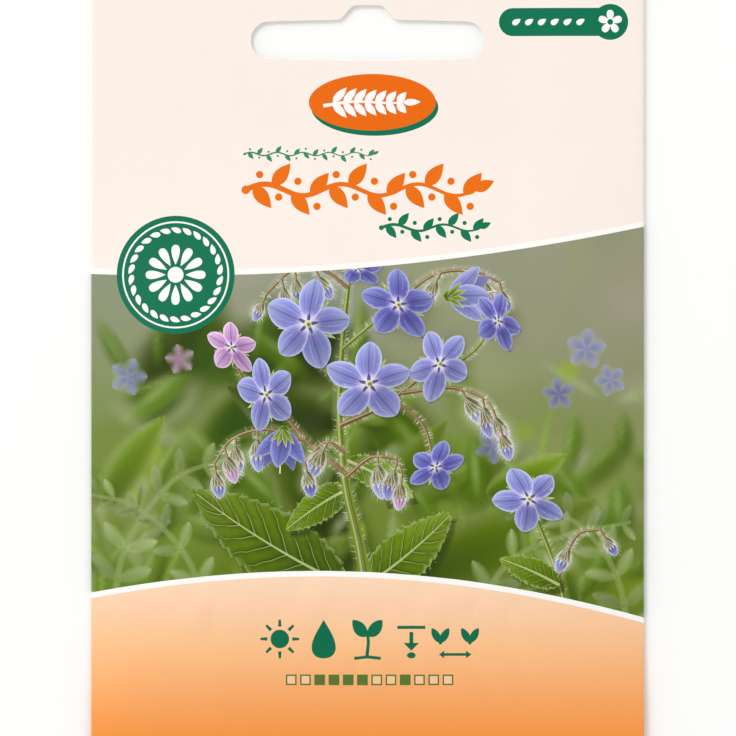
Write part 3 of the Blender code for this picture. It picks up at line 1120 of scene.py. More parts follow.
    def flower(self, spot: Spot, petals: Petals) -> None:
        """An open flower of five broad pointed petals, seen from the front.

        Args:
            spot: its middle, sized to its petals' reach.
            petals: their colours.
        """
        colours, rim = petals.value
        self.sheet.glow(spot.at(0.14, -0.16, size=1.15), self.shade, 0.3)
        self.sepals(spot.fan(5, 36), 0.72, 0.07)
        for place in (0, 2, 4, 1, 3):
            own = spot.at(0.0, 0.0, 72 * place + self.dice.uniform(-7, 7))
            blade = Blade(own, self.dice.uniform(0.93, 1.05), self.dice.uniform(0.29, 0.35),
                          0.9, 0.7, self.dice.uniform(-0.09, 0.09))
            self.sheet.paint(blade.shadow((0.16, -0.2)), 10, ("#2B2A62",), opacity=0.42, feather=0.9)
            self.sheet.paint(blade, 14, colours, rim=rim, rim_depth=0.24, light=0.12, crease=0.12,
                             exposure=0.98 + 0.08 * own.lit((1.0, 0.0)))
            self.veins(blade, (-0.66, -0.33, 0.33, 0.66), (0.2, 0.84), 0.1, Flat("#4B46A4", 0.38))
            self.veins(blade, (0.0,), (0.12, 0.93), 0.17, Flat("#3F3A96", 0.5))
            self.veins(blade, (-0.5,), (0.45, 0.88), 0.13, Flat("#D6DCFA", 0.3))
        self.sheet.glow(spot.at(0.0, 0.0, size=0.34), "#F4F4F8", 0.95)
        for own in spot.fan(5):
            self.sheet.draw(Blade(own, 0.24, 0.04, 0.6, 0.6).outline(6), Flat("#3F3478", 0.75))
        self.sheet.disc(spot, 0.085, Flat("#E0E2B4"), 14)
        self.sheet.disc(spot.at(0.02, -0.02), 0.05, Flat("#8E8A3C"), 12)

    def bell(self, spot: Spot, petals: Petals) -> None:
        """A flower seen from the side, with its mouth towards the spot's first axis.

        Args:
            spot: its root, sized to its length.
            petals: their colours.
        """
        colours, rim = petals.value
        for angle in (-17, 17):
            blade = Blade(spot.at(0.0, 0.0, angle), 1.02, 0.2, 0.9, 1.0, angle * 0.004)
            self.sheet.paint(blade, 12, colours, rim=rim, rim_depth=0.2, exposure=0.78)
        pistil = spot.place(np.array([(0.4, 0.0), (0.8, 0.02), (1.06, 0.05)]))
        self.sheet.stroke(pistil, (0.14, 0.2), Flat("#E9E6C4"))
        for angle, half_width in ((-30, 0.2), (30, 0.2), (-2, 0.25)):
            blade = Blade(spot.at(0.0, 0.0, angle), 0.94, half_width, 0.75, 0.85, angle * 0.005)
            self.sheet.paint(blade, 12, colours[1:], rim=rim, rim_depth=0.24, light=0.16, crease=0.12,
                             exposure=0.96)
            self.veins(blade, (-0.45, 0.0, 0.45), (0.14, 0.86), 0.1, Flat("#403B98", 0.45))
        cup = Blade(spot.at(-0.1, 0.0), 0.34, 0.14, 0.5, 0.7)
        self.sheet.paint(cup, 10, self.greens, rim="#A9B96C", rim_depth=0.4, light=0.2)
        self.sepals(spot.turned(-44, -16, 12, 40), 0.44, 0.06)

    def bud(self, spot: Spot, petals: Petals) -> None:
        """A closed bud in its calyx, with fine hairs.

        Args:
            spot: its root, sized to its length.
            petals: the colours of its petals.
        """
        self.sheet.glow(spot.at(0.45, 0.0, size=0.72), "#DCE0CC", 0.5)
        blade = Blade(spot, 1.0, 0.28, 0.6, 0.72)
        edges = np.linspace(0.06, 0.9, 9)
        for side in (-1.0, 1.0):
            roots = blade.point(edges, side)
            outward = (blade.point(edges, side * 1.6) - roots) + (spot.axes @ (0.22, 0.0))
            self.hairs(roots, outward, 0.9)
        own, rim = petals.value
        self.sheet.paint(blade, 14, ("#5D6B30", "#80745A", own[2], own[3], rim), rim="#D3D6DE",
                         rim_depth=0.3, light=0.2, crease=0.1)
        self.veins(blade, (-0.55, 0.05, 0.6), (0.1, 0.95), 0.2, Flat("#3A3A5C", 0.4))
        for angle in (-30, -10, 11, 31):
            leafy = Blade(spot.at(-0.02, 0.0, angle), 0.68, 0.085, 0.5, 0.9, -angle * 0.004)
            self.sheet.paint(leafy, 9, ("#5B5F30", "#7C7450", "#A59C7C"), rim="#DEDFCB",
                             rim_depth=0.42, light=0.14)

    def spray(self, stops: Route, count: int, size: float) -> None:
        """A side stalk with nodding buds along its outer part.

        Args:
            stops: the places on its way.
            count: its buds.
            size: the length of the biggest.
        """
        self.stem(stops, (0.6, 0.34), True, 14)
        path = smooth_path(stops)
        for place in range(count):
            share = place / max(1, count - 1)
            root = path[int((0.45 + 0.55 * share) * (len(path) - 1))]
            turn = -90.0 + self.dice.uniform(-34, 34)
            hung = root + 1.5 * np.array([math.cos(math.radians(turn)), math.sin(math.radians(turn))])
            self.stem((tuple(root), tuple(hung)), (0.4, 0.34), True, 4)
            petals = (Petals.VIOLET, Petals.DEEP, Petals.ROSE)[place % 3]
            self.bud(PAGE.at(*hung, turn, size * (1.0 - 0.2 * share)), petals)

    def far_plants(self) -> None:
        """The leaves, fronds and flowers that stand just behind, a little out of focus."""
        for place, length, half_width, bend, exposure in self.far_leaves:
            blade = Blade(PAGE.at(*place), length, half_width, 0.62, 0.85, bend)
            self.soft_blade(blade, self.greens, "#A9B67A", exposure)
        for frond in self.fronds:
            self.frond(*frond)
        for *place, petals in self.far_flowers:
            self.soft_flower(PAGE.at(*place), petals)

    def near_plants(self) -> None:
        """The plants in focus: their leaves, stalks, buds and flowers, from back to front."""
        *behind, before = self.leaves
        for leaf in behind:
            self.leaf(*leaf)
        for stalk in self.stalks:
            self.stem(*stalk)
        for spray in self.sprays:
            self.spray(*spray)
        for *place, petals in self.bells:
            self.bell(PAGE.at(*place), petals)
        for *place, petals in self.flowers:
            self.flower(PAGE.at(*place), petals)
        self.leaf(*before)

    def print_all(self) -> None:
        """Prints the picture from its far ground to its nearest flowers."""
        self.backdrop()
        self.far_plants()
        self.near_plants()


@dataclass
class FrontPrint:
    """All that is printed on the front: its picture between two arcs, and the plain signs."""

    sheet: PrintedSheet
    form: FoldedForm
    green: str = "#007756"
    orange: str = "#EF7410"
    white: str = "#FFFEFA"
    cream: str = "#FEF2E8"
    border: float = 0.8
    bleed: float = 1.5
    upper_arc: tuple[float, float, float] = (-27.1, 13.6, 317.0)
    lower_arc: tuple[float, float, float] = (-7.2, -29.7, -160.0)
    foot: tuple[str, ...] = (
        "#FFDDBE", "#FFD1AB", "#FFC692", "#FDB67A", "#FBA761", "#F99846", "#F68B30",
    )
    tag_ends: Pair = (21.05, 35.1)
    tag_y: float = 50.3
    tag_half: float = 2.03
    label_place: Pair = (0.7, 38.7)
    label_reach: Pair = (9.2, 4.1)
    badge_place: Pair = (-27.7, 13.7)
    badge_rings: tuple[float, float, float] = (8.54, 7.75, 7.5)

    @property
    def sides(self) -> Pair:
        """How far the print runs round the left and right folds."""
        left_arc, right_arc, _ = self.form.arcs
        return self.form.left_x - left_arc - 1.0, self.form.right_x + right_arc + self.bleed

    def arc(self, bow: tuple[float, float, float], lift: float) -> Array:
        """A shallow arc from side to side by the x, y and radius of its turning point."""
        middle, height, radius = bow
        x = np.linspace(*self.sides, 90)
        return np.stack([x, height + (x - middle) ** 2 / (2 * radius) + lift], axis=1)

    def bands(self) -> None:
        """The cream header and the orange foot, each with its white border along the picture."""
        left, right = self.sides
        top, bottom = self.form.top_y + 1.0, self.form.bottom_y - 20.0
        white, wash = Flat(self.white), Wash(self.foot, (0.0, self.lower_arc[1]), (0.0, self.form.bottom_y))
        for lift, ink in ((0.0, white), (self.border, Flat(self.cream))):
            arc = self.arc(self.upper_arc, lift)
            self.sheet.draw(np.concatenate([arc, [(right, top), (left, top)]]), ink)
        for lift, ink in ((self.border, white), (0.0, wash)):
            arc = self.arc(self.lower_arc, lift)[::-1]
            self.sheet.draw(np.concatenate([[(left, bottom), (right, bottom)], arc]), ink)

    def vine(self, ends: Pair, y: float, height: float, waves: float, leaves: int, ink: Ink) -> None:
        """A wavy stalk with leaves on both sides and a berry between each pair.

        Args:
            ends: the x of its start and its end.
            y: its middle.
            height: its height over the leaf tips.
            waves: its waves.
            leaves: its leaves.
            ink: its ink.
        """
        left, right = ends
        x = np.linspace(left, right, 60)

        def wave(at: Array | float) -> Array | float:
            """The stalk's height at these places."""
            return y + height * 0.13 * np.sin((at - left) / (right - left) * waves * math.tau)

        self.sheet.stroke(np.stack([x, wave(x)], axis=1), (height * 0.13, height * 0.07), ink)
        self.sheet.disc(PAGE.at(left, y), height * 0.1, ink, 16)
        end = PAGE.at(right - 0.2, wave(right), 24.0)
        self.sheet.draw(Blade(end, height * 0.5, height * 0.13, 0.75, 1.1).outline(), ink)
        for place in range(leaves):
            at = left + (right - left) * (place + 0.4) / leaves
            side = 1 if place % 2 else -1
            blade = Blade(PAGE.at(at, wave(at), side * 48.0), height * 0.64,
                          height * 0.16, 0.75, 1.1, side * height * 0.03)
            self.sheet.draw(blade.outline(), ink)
            berry = PAGE.at(at + height * 0.14, wave(at) - side * height * 0.27)
            self.sheet.disc(berry, height * 0.085, ink, 14)

    def tag(self) -> None:
        """The green tag at the top right: a row of white drops, and a small flower in a disc."""
        green, white = Flat(self.green), Flat(self.white)
        (left, right), y, half = self.tag_ends, self.tag_y, self.tag_half
        turn = np.linspace(math.pi / 2, math.pi * 3 / 2, 16)
        cap = np.stack([left + half * np.cos(turn), y + half * np.sin(turn)], axis=1)
        middle = PAGE.at(right, y)
        self.sheet.draw(np.concatenate([cap, [(right, y - half), (right, y + half)]]), green)
        self.sheet.disc(middle, 2.6, green, 40)
        for place in range(6):
            drop = Blade(PAGE.at(21.0 + 1.85 * place, y - 0.3, 32.0), 1.35, 0.42, 0.5, 0.9)
            self.sheet.draw(drop.outline(10), white)
        for own in middle.fan(5, 90):
            self.sheet.draw(Blade(own, 1.75, 0.52, 0.9, 0.45).outline(10), white)
        self.sheet.disc(middle, 0.42, green, 14)

    def label(self) -> None:
        """The orange oval on a green one, with a white sprig."""
        spot, white = PAGE.at(*self.label_place), Flat(self.white)
        oval = circle(1.0, 60) * self.label_reach
        self.sheet.draw(spot.at(0.35, -0.75).place(oval), Flat(self.green))
        self.sheet.draw(spot.place(oval), Flat("#EF6F00"))
        sprig = smooth_path([(-6.4, 38.2), (-2.0, 38.8), (3.0, 38.6), (5.6, 38.7)])
        self.sheet.stroke(sprig, (0.5, 0.24), white)
        for place in range(7):
            for side in (-1, 1):
                blade = Blade(PAGE.at(-5.0 + 1.55 * place, 38.65 + 0.1 * side, side * 44.0),
                              2.9 - 0.16 * place, 0.56, 0.75, 1.1, side * 0.12)
                self.sheet.draw(blade.outline(10), white)
        self.sheet.draw(Blade(PAGE.at(5.2, 38.68, 2.0), 2.5, 0.5, 0.75, 1.1).outline(10), white)

    def badge(self) -> None:
        """The round green badge: a white ring, a wreath of small leaves and a daisy."""
        spot, green, white = PAGE.at(*self.badge_place), Flat(self.green), Flat(self.white)
        for radius, steps, ink in zip(self.badge_rings, (72, 64, 64), (green, white, green)):
            self.sheet.disc(spot, radius, ink, steps)
        for own in spot.fan(26):
            self.sheet.draw(Blade(own.at(6.2, 0.0, 68.0), 1.55, 0.4, 0.6, 0.9, 0.15).outline(9), white)
        for own in spot.fan(12):
            self.sheet.draw(Blade(own.at(1.45, 0.0), 2.9, 0.62, 1.0, 0.4).outline(10), white)
        self.sheet.disc(spot, 1.15, white, 24)

    def signs(self, middle: float, y: float, size: float, spacing: float, ink: Ink) -> None:
        """Five plain gardening signs in a row: sun, drop, seedling, depth and spacing.

        Args:
            middle: the x of the row's middle.
            y: its height.
            size: the height of one sign.
            spacing: the distance from one to the next.
            ink: their ink.
        """
        sun, drop, seedling, depth, apart = (
            PAGE.at(middle + spacing * place, y, size=size) for place in (-2, -1, 0, 1, 2)
        )
        self.sheet.disc(sun, 0.24, ink, 26)
        ray = np.array([(0.32, -0.045), (0.5, -0.03), (0.5, 0.03), (0.32, 0.045)])
        for own in sun.fan(8):
            self.sheet.draw(own.place(ray), ink)
        self.sheet.draw(Blade(drop.at(0.0, -0.5, 90.0), 1.0, 0.31, 0.45, 1.15).outline(18), ink)
        self.sheet.stroke(seedling.place(smooth_path([(-0.02, -0.5), (0.02, -0.1), (0.0, 0.12)])),
                          (0.09 * size, 0.07 * size), ink)
        for side, turn in ((1, 38.0), (-1, 142.0)):
            leaf = Blade(seedling.at(0.0, 0.08, turn), 0.55, 0.16, 0.7, 0.8, side * 0.08)
            self.sheet.draw(leaf.outline(), ink)
        soil, line = (-0.5, -0.46, -0.5), (0.3, 0.3, 0.3)
        for spot, half, heights in ((seedling, 0.34, soil), (depth, 0.36, line)):
            path = np.stack([(-half, 0.0, half), heights], axis=1)
            self.sheet.stroke(spot.place(path), (0.08 * size, 0.08 * size), ink)
        down = np.array([(-0.05, 0.18), (-0.05, -0.1), (-0.2, -0.1), (0.0, -0.3), (0.2, -0.1),
                         (0.05, -0.1), (0.05, 0.18)])
        self.sheet.draw(depth.place(down[::-1]), ink)
        self.sheet.draw(depth.at(0.0, -0.42).place(circle(0.08, 16) * (1.4, 1.0)), ink)
        out = np.array([(0.42, 0.0), (0.28, 0.1), (0.28, 0.035), (-0.02, 0.035), (-0.02, -0.035),
                        (0.28, -0.035), (0.28, -0.1)])
        for side in (-1, 1):
            plant = apart.at(side * 0.38, -0.1)
            for own in plant.turned(60.0, 120.0):
                self.sheet.draw(Blade(own, 0.44, 0.1, 0.7, 0.8).outline(9), ink)
            self.sheet.draw(plant.place(rectangle(-0.04, -0.04, 0.04, 0.1)), ink)
            self.sheet.draw(apart.at(0.0, -0.4).place(out * side), ink)

    def months(self, middle: float, y: float, size: float, gap: float, ink: Ink,
               filled: Sequence[int], paper: Ink) -> None:
        """A strip of twelve little squares, some of them filled.

        Args:
            middle: the x of its middle.
            y: its middle.
            size: the side of a square.
            gap: the space between two.
            ink: its ink.
            filled: the squares that are filled.
            paper: what shows in the others.
        """
        square = rectangle(-0.5, -0.5, 0.5, 0.5)
        for place in range(12):
            spot = PAGE.at(middle + (place - 5.5) * (size + gap), y, size=size)
            self.sheet.draw(spot.place(square), ink)
            if place not in filled:
                self.sheet.draw(spot.place(square * 0.72), paper)

    def print_all(self) -> None:
        """Prints the whole front, from the picture at the bottom of the pile to the badge on top."""
        GardenPicture(self.sheet, *self.sides).print_all()
        self.bands()
        self.tag()
        self.label()
        self.vine((-17.8, 1.0), y=31.2, height=1.9, waves=5.0, leaves=14, ink=Flat("#3F8F6A"))
        self.vine((-17.6, 15.6), y=26.0, height=6.4, waves=3.0, leaves=12, ink=Flat(self.orange))
        self.vine((2.0, 16.4), y=20.5, height=3.6, waves=2.0, leaves=8, ink=Flat("#0C7A54"))
        self.signs(0.0, y=-38.7, size=5.6, spacing=6.3, ink=Flat("#0B7150"))
        self.months(0.3, y=-44.6, size=1.55, gap=0.5, ink=Flat("#5F7A38"), filled=(2, 3, 4, 5, 8),
                    paper=Flat("#FBCB9F"))
        self.badge()


@dataclass
class BackPrint(FrontPrint):
    """The plain print on the back: a panel with signs and months, ruled lines and the orange foot."""

    panel: str = "#E3EBDD"
    panel_ends: Pair = (11.0, 31.0)
    foot_y: float = -38.0
    margin: float = 5.0
    line_spacing: float = 6.0

    def print_all(self) -> None:
        """Prints the back, from its foot up."""
        form, green, panel = self.form, Flat(self.green), Flat(self.panel)
        left, right = form.side_flap + self.margin - form.back_edge_x, -form.left_x - self.margin
        middle = (left + right) / 2
        wash = Wash(self.foot, (0.0, self.foot_y), (0.0, form.bottom_y))
        for lift, ink in ((self.border, Flat(self.white)), (0.0, wash)):
            low, high = form.bottom_y - form.bottom_flap, self.foot_y + lift
            self.sheet.draw(rectangle(-form.width, low, form.width, high), ink)
        self.vine((left, right - 3.0), y=37.0, height=4.6, waves=4.0, leaves=16, ink=green)
        self.sheet.draw(rectangle(left, self.panel_ends[0], right, self.panel_ends[1]), panel)
        self.signs(middle, y=25.0, size=6.4, spacing=9.5, ink=green)
        self.months(middle, y=17.6, size=2.6, gap=0.9, ink=green, filled=(2, 3, 4), paper=panel)
        self.months(middle, y=13.8, size=2.6, gap=0.9, ink=Flat(self.orange), filled=(5, 6, 7, 8),
                    paper=panel)
        for y in np.arange(4.0, self.foot_y + 4.0, -self.line_spacing):
            self.sheet.stroke(np.array([(left, y), (middle, y), (right, y)]), (0.22, 0.22), Flat("#8FB3A0"))


# Shader and geometry trees


def add_node(tree: NodeTree, kind: str, links: dict | None = None,
             **settings: object) -> Node:
    """Adds a node with its settings and what goes into it.

    Args:
        tree: the tree that it joins.
        kind: its type, such as ShaderNodeTexNoise.
        links: for an input's name or number, a socket, a node for its first output, or a value.
        settings: the node's own settings.

    Returns:
        The new node.
    """
    made = tree.nodes.new(kind)
    for name, value in settings.items():
        setattr(made, name, value)
    for key, value in (links or {}).items():
        value = value.outputs[0] if isinstance(value, Node) else value
        if isinstance(value, NodeSocket):
            tree.links.new(value, made.inputs[key])
        else:
            made.inputs[key].default_value = value
    return made


def per_metre(millimetres: float) -> float:
    """A noise texture's scale for features of this size on Object coordinates."""
    return 1.0 / (millimetres * MM)


@dataclass(frozen=True)
class Finish:
    """What the finishes share: a material on Object coordinates with one shader."""

    name: str

    def sockets(self, tree: NodeTree, place: NodeSocket) -> dict[str, object]:
        """The node or value for each of the shader's inputs."""
        raise NotImplementedError

    def build(self) -> Material:
        """Builds the material."""
        made = bpy.data.materials.new(self.name)
        made.use_nodes = True
        tree = made.node_tree
        tree.nodes.clear()
        place = add_node(tree, "ShaderNodeTexCoord").outputs["Object"]
        shader = add_node(tree, "ShaderNodeBsdfPrincipled", self.sockets(tree, place))
        add_node(tree, "ShaderNodeOutputMaterial", {"Surface": shader})
        return made


@dataclass(frozen=True)
class CoatedPaper(Finish):
    """Matt coated art paper, offset printed: a smooth skin that still shows the sheet's fibres."""

    name: str = "coated_paper_print"
    colour: str = "#FBF6EE"
    printed: bool = True
    # Real fibres are about 0.03 mm across, too fine to show, so they are drawn this coarse.
    fibre: float = 0.55
    mottle: float = 4.0
    roughness: Pair = (0.4, 0.5)
    relief: float = 0.012
    whiteness: Pair = (0.953, 0.965)

    def sockets(self, tree: NodeTree, place: NodeSocket) -> dict[str, object]:
        """The print or the bare paper with faint mottling, and fibres in the relief."""
        fibres = add_node(tree, "ShaderNodeTexNoise", {
            "Vector": place, "Scale": per_metre(self.fibre), "Detail": 4.0, "Roughness": 0.6})
        clouds = add_node(tree, "ShaderNodeTexNoise", {
            "Vector": place, "Scale": per_metre(self.mottle), "Detail": 2.0})
        ink = tuple(linear(self.colour))
        if self.printed:
            ink = add_node(tree, "ShaderNodeAttribute", attribute_name="print").outputs["Color"]
        tone, cloud = (
            add_node(tree, "ShaderNodeMapRange", {
                "Value": noise, "From Min": 0.3, "From Max": 0.7, "To Min": low, "To Max": high})
            for noise, (low, high) in ((fibres, self.whiteness), (clouds, (0.99, 1.0)))
        )
        both = add_node(tree, "ShaderNodeMath", {0: tone, 1: cloud}, operation="MULTIPLY")
        low, high = self.roughness
        return {
            "Base Color": add_node(tree, "ShaderNodeVectorMath", {0: ink, "Scale": both}, operation="SCALE"),
            "Roughness": add_node(tree, "ShaderNodeMapRange", {
                "Value": clouds, "To Min": low, "To Max": high}),
            "IOR": 1.5, "Specular IOR Level": 0.22,
            "Normal": add_node(tree, "ShaderNodeBump", {
                "Height": fibres, "Strength": 0.35, "Distance": self.relief * MM}),
        }


@dataclass(frozen=True)
class DriedGlue(Finish):
    """Dried dispersion glue: a thin yellowish film with small bubbles and a soft shine."""

    name: str = "dried_dispersion_glue"
    colours: tuple[str, str] = ("#DED2AE", "#F2ECD8")
    cloud: float = 3.0
    bubble: float = 1.1
    relief: float = 0.03

    def sockets(self, tree: NodeTree, place: NodeSocket) -> dict[str, object]:
        """Cloudy colour, and bubbles in the relief."""
        clouds = add_node(tree, "ShaderNodeTexNoise", {
            "Vector": place, "Scale": per_metre(self.cloud), "Detail": 3.0})
        bubbles = add_node(tree, "ShaderNodeTexVoronoi", {"Vector": place, "Scale": per_metre(self.bubble)})
        thin, thick = ((*linear(colour), 1.0) for colour in self.colours)
        colour = add_node(tree, "ShaderNodeMix", {"Factor": clouds, 6: thin, 7: thick}, data_type="RGBA")
        return {
            "Base Color": colour.outputs[2], "Roughness": 0.32, "IOR": 1.47,
            "Normal": add_node(tree, "ShaderNodeBump", {
                "Height": bubbles, "Strength": 0.4, "Distance": self.relief * MM}),
        }


@dataclass(frozen=True)
class SeedCoat(Finish):
    """The dry, dull coat of a ripe nutlet: near black, and paler where its wrinkled relief stands highest.
    """

    name: str = "ripe_nutlet_coat"
    colours: tuple[str, str, str] = ("#17110D", "#2E221A", "#6B5744")
    stops: tuple[float, float, float] = (0.3, 0.55, 0.78)
    wrinkle: float = 0.5
    relief: float = 0.08

    def sockets(self, tree: NodeTree, place: NodeSocket) -> dict[str, object]:
        """Mottled browns, and wrinkles in the relief."""
        wrinkles = add_node(tree, "ShaderNodeTexNoise", {
            "Vector": place, "Scale": per_metre(self.wrinkle), "Detail": 5.0, "Roughness": 0.65})
        browns = add_node(tree, "ShaderNodeValToRGB", {"Fac": wrinkles})
        ends = browns.color_ramp.elements
        ends.new(self.stops[1])
        for stop, at, colour in zip(ends, self.stops, self.colours):
            stop.position, stop.color = at, (*linear(colour), 1.0)
        return {
            "Base Color": browns, "Roughness": 0.68, "IOR": 1.48,
            "Normal": add_node(tree, "ShaderNodeBump", {
                "Height": wrinkles, "Strength": 0.6, "Distance": self.relief * MM}),
        }


@dataclass(frozen=True)
class StudioBoard(Finish):
    """The pale matt board that the packet lies on."""

    name: str = "pale_board"
    colour: str = "#FCFCFB"
    mottle: float = 30.0

    def sockets(self, tree: NodeTree, place: NodeSocket) -> dict[str, object]:
        """Near white, with the faintest mottling."""
        clouds = add_node(tree, "ShaderNodeTexNoise", {"Vector": place, "Scale": per_metre(self.mottle)})
        tone = add_node(tree, "ShaderNodeMapRange", {"Value": clouds, "To Min": 0.99, "To Max": 1.0})
        colour = add_node(tree, "ShaderNodeVectorMath", {
            0: tuple(linear(self.colour)), "Scale": tone}, operation="SCALE")
        return {"Base Color": colour, "Roughness": 0.9, "Specular IOR Level": 0.1}


def object_of(name: str, data: ID) -> Object:
    """Links an object that holds this mesh, lamp or camera."""
    made = bpy.data.objects.new(name, data)
    bpy.context.scene.collection.objects.link(made)
    return made


def mesh_of(name: str, points: Sequence, faces: Sequence) -> Mesh:
    """Makes a mesh of these points, in metres, and faces."""
    made = bpy.data.meshes.new(name)
    made.from_pydata(points, [], faces)
    return made


@dataclass
class ShapeTree:
    """A geometry tree that works on one shape, with an input for each of its named values."""

    name: str
    values: dict[str, object]
    group: NodeTree = field(init=False)
    identifiers: dict[str, str] = field(init=False)
    given: NodeOutputs = field(init=False)

    def __post_init__(self) -> None:
        """Starts the tree: its shape in and out, and an input of the right type for each value."""
        kinds = {float: "Float", int: "Int", Object: "Object", Material: "Material"}
        self.group = bpy.data.node_groups.new(self.name, "GeometryNodeTree")
        for way in ("INPUT", "OUTPUT"):
            self.group.interface.new_socket(name="shape", in_out=way, socket_type="NodeSocketGeometry")
        self.identifiers = {
            label: self.group.interface.new_socket(
                name=label, in_out="INPUT", socket_type=f"NodeSocket{kinds[type(value)]}").identifier
            for label, value in self.values.items()
        }
        self.given = self.node("NodeGroupInput").outputs

    def node(self, kind: str, links: dict | None = None, **settings: object) -> Node:
        """Adds a node to this tree, as add_node does."""
        return add_node(self.group, kind, links, **settings)

    def calculate(self, operation: str, first: object, second: object) -> Node:
        """One sum on two values, sockets or nodes."""
        return self.node("ShaderNodeMath", {0: first, 1: second}, operation=operation)

    def end(self, shape: Node, offset: Node, material: str) -> None:
        """Ends the tree: the shape is moved, made real and dressed.

        Args:
            shape: what gives the shape.
            offset: how far each of its points moves.
            material: the input that names its material.
        """
        moved = self.node("GeometryNodeSetPosition", {"Geometry": shape, "Offset": offset})
        real = self.node("GeometryNodeRealizeInstances", {0: moved})
        dressed = self.node("GeometryNodeSetMaterial", {"Geometry": real, "Material": self.given[material]})
        self.node("NodeGroupOutput", {0: dressed})

    def apply(self, item: Object) -> Mesh:
        """Runs the tree on an object.

        Args:
            item: the object.

        Returns:
            A plain mesh of the result; the object has lost the modifier again.
        """
        modifier = item.modifiers.new(self.name, "NODES")
        modifier.node_group = self.group
        for label, value in self.values.items():
            modifier[self.identifiers[label]] = value
        item.update_tag()
        graph = bpy.context.evaluated_depsgraph_get()
        graph.update()
        made = bpy.data.meshes.new_from_object(item.evaluated_get(graph), depsgraph=graph)
        item.modifiers.remove(modifier)
        return made


@dataclass(frozen=True)
class PaperRelief:
    """How filled paper gives: it dips between the seeds, waves softly and cockles along its glue."""

    lift: float = 0.22
    near: float = 0.35
    far: float = 2.55
    probe_z: float = 3.1
    flat_z: float = 2.0
    full_z: float = 3.6
    slack: float = 0.16
    slack_length: float = 17.0
    cockle: float = 0.05
    cockle_length: float = 5.0
    mouth_low: float = 36.0
    mouth_high: float = 41.0
    fade: float = 3.0

    def tree(self, seeds: Object, paper: Material) -> ShapeTree:
        """Builds the geometry tree that moves the middle of the paper up and down.

        Args:
            seeds: the seeds that hold the paper up.
            paper: the paper's material.

        Returns:
            The tree, with an input for each of these sizes, in metres, or as a noise's scale.
        """
        sizes = asdict(self)
        scales = {f"{wave}_scale": per_metre(sizes.pop(f"{wave}_length")) for wave in ("slack", "cockle")}
        tree = ShapeTree("paper_relief", {label: size * MM for label, size in sizes.items()}
                         | scales | {"seeds": seeds, "paper": paper})
        given, node, calculate = tree.given, tree.node, tree.calculate
        place = node("GeometryNodeInputPosition")
        apart = node("ShaderNodeSeparateXYZ", {0: place}).outputs

        def fading(value: object, low: object, high: object, start: float, end: float) -> Node:
            """A value's smooth change from start to end between two limits."""
            return node("ShaderNodeMapRange", {
                "Value": value, "From Min": low, "From Max": high, "To Min": start, "To Max": end},
                interpolation_type="SMOOTHSTEP")

        def waves(scale: str) -> Node:
            """Soft waves round zero, as long as the named input says."""
            noise = node("ShaderNodeTexNoise", {"Vector": place, "Scale": given[scale], "Detail": 1.0})
            return calculate("SUBTRACT", noise, 0.5)

        probe = node("ShaderNodeCombineXYZ", {"X": apart["X"], "Y": apart["Y"], "Z": given["probe_z"]})
        seeds_shape = node("GeometryNodeObjectInfo", {"Object": given["seeds"]}).outputs["Geometry"]
        near = node("GeometryNodeProximity", {"Geometry": seeds_shape, "Sample Position": probe})
        dip = fading(near.outputs["Distance"], given["near"], given["far"], 0.0, -1.0)
        dips = calculate("MULTIPLY", dip, given["lift"])
        sags = calculate("MULTIPLY", waves("slack_scale"), given["slack"])
        full = fading(apart["Z"], given["flat_z"], given["full_z"], 0.0, 1.0)
        filled = calculate("MULTIPLY", calculate("ADD", dips, sags), full)
        below = calculate("SUBTRACT", given["mouth_low"], given["fade"])
        above = calculate("ADD", given["mouth_high"], given["fade"])
        rising = fading(apart["Y"], below, given["mouth_low"], 0.0, 1.0)
        falling = fading(apart["Y"], given["mouth_high"], above, 1.0, 0.0)
        band = calculate("MULTIPLY", calculate("MULTIPLY", rising, falling), given["cockle"])
        cockles = calculate("MULTIPLY", waves("cockle_scale"), band)
        offset = node("ShaderNodeCombineXYZ", {"Z": calculate("ADD", filled, cockles)})
        tree.end(given["shape"], offset, "paper")
        return tree


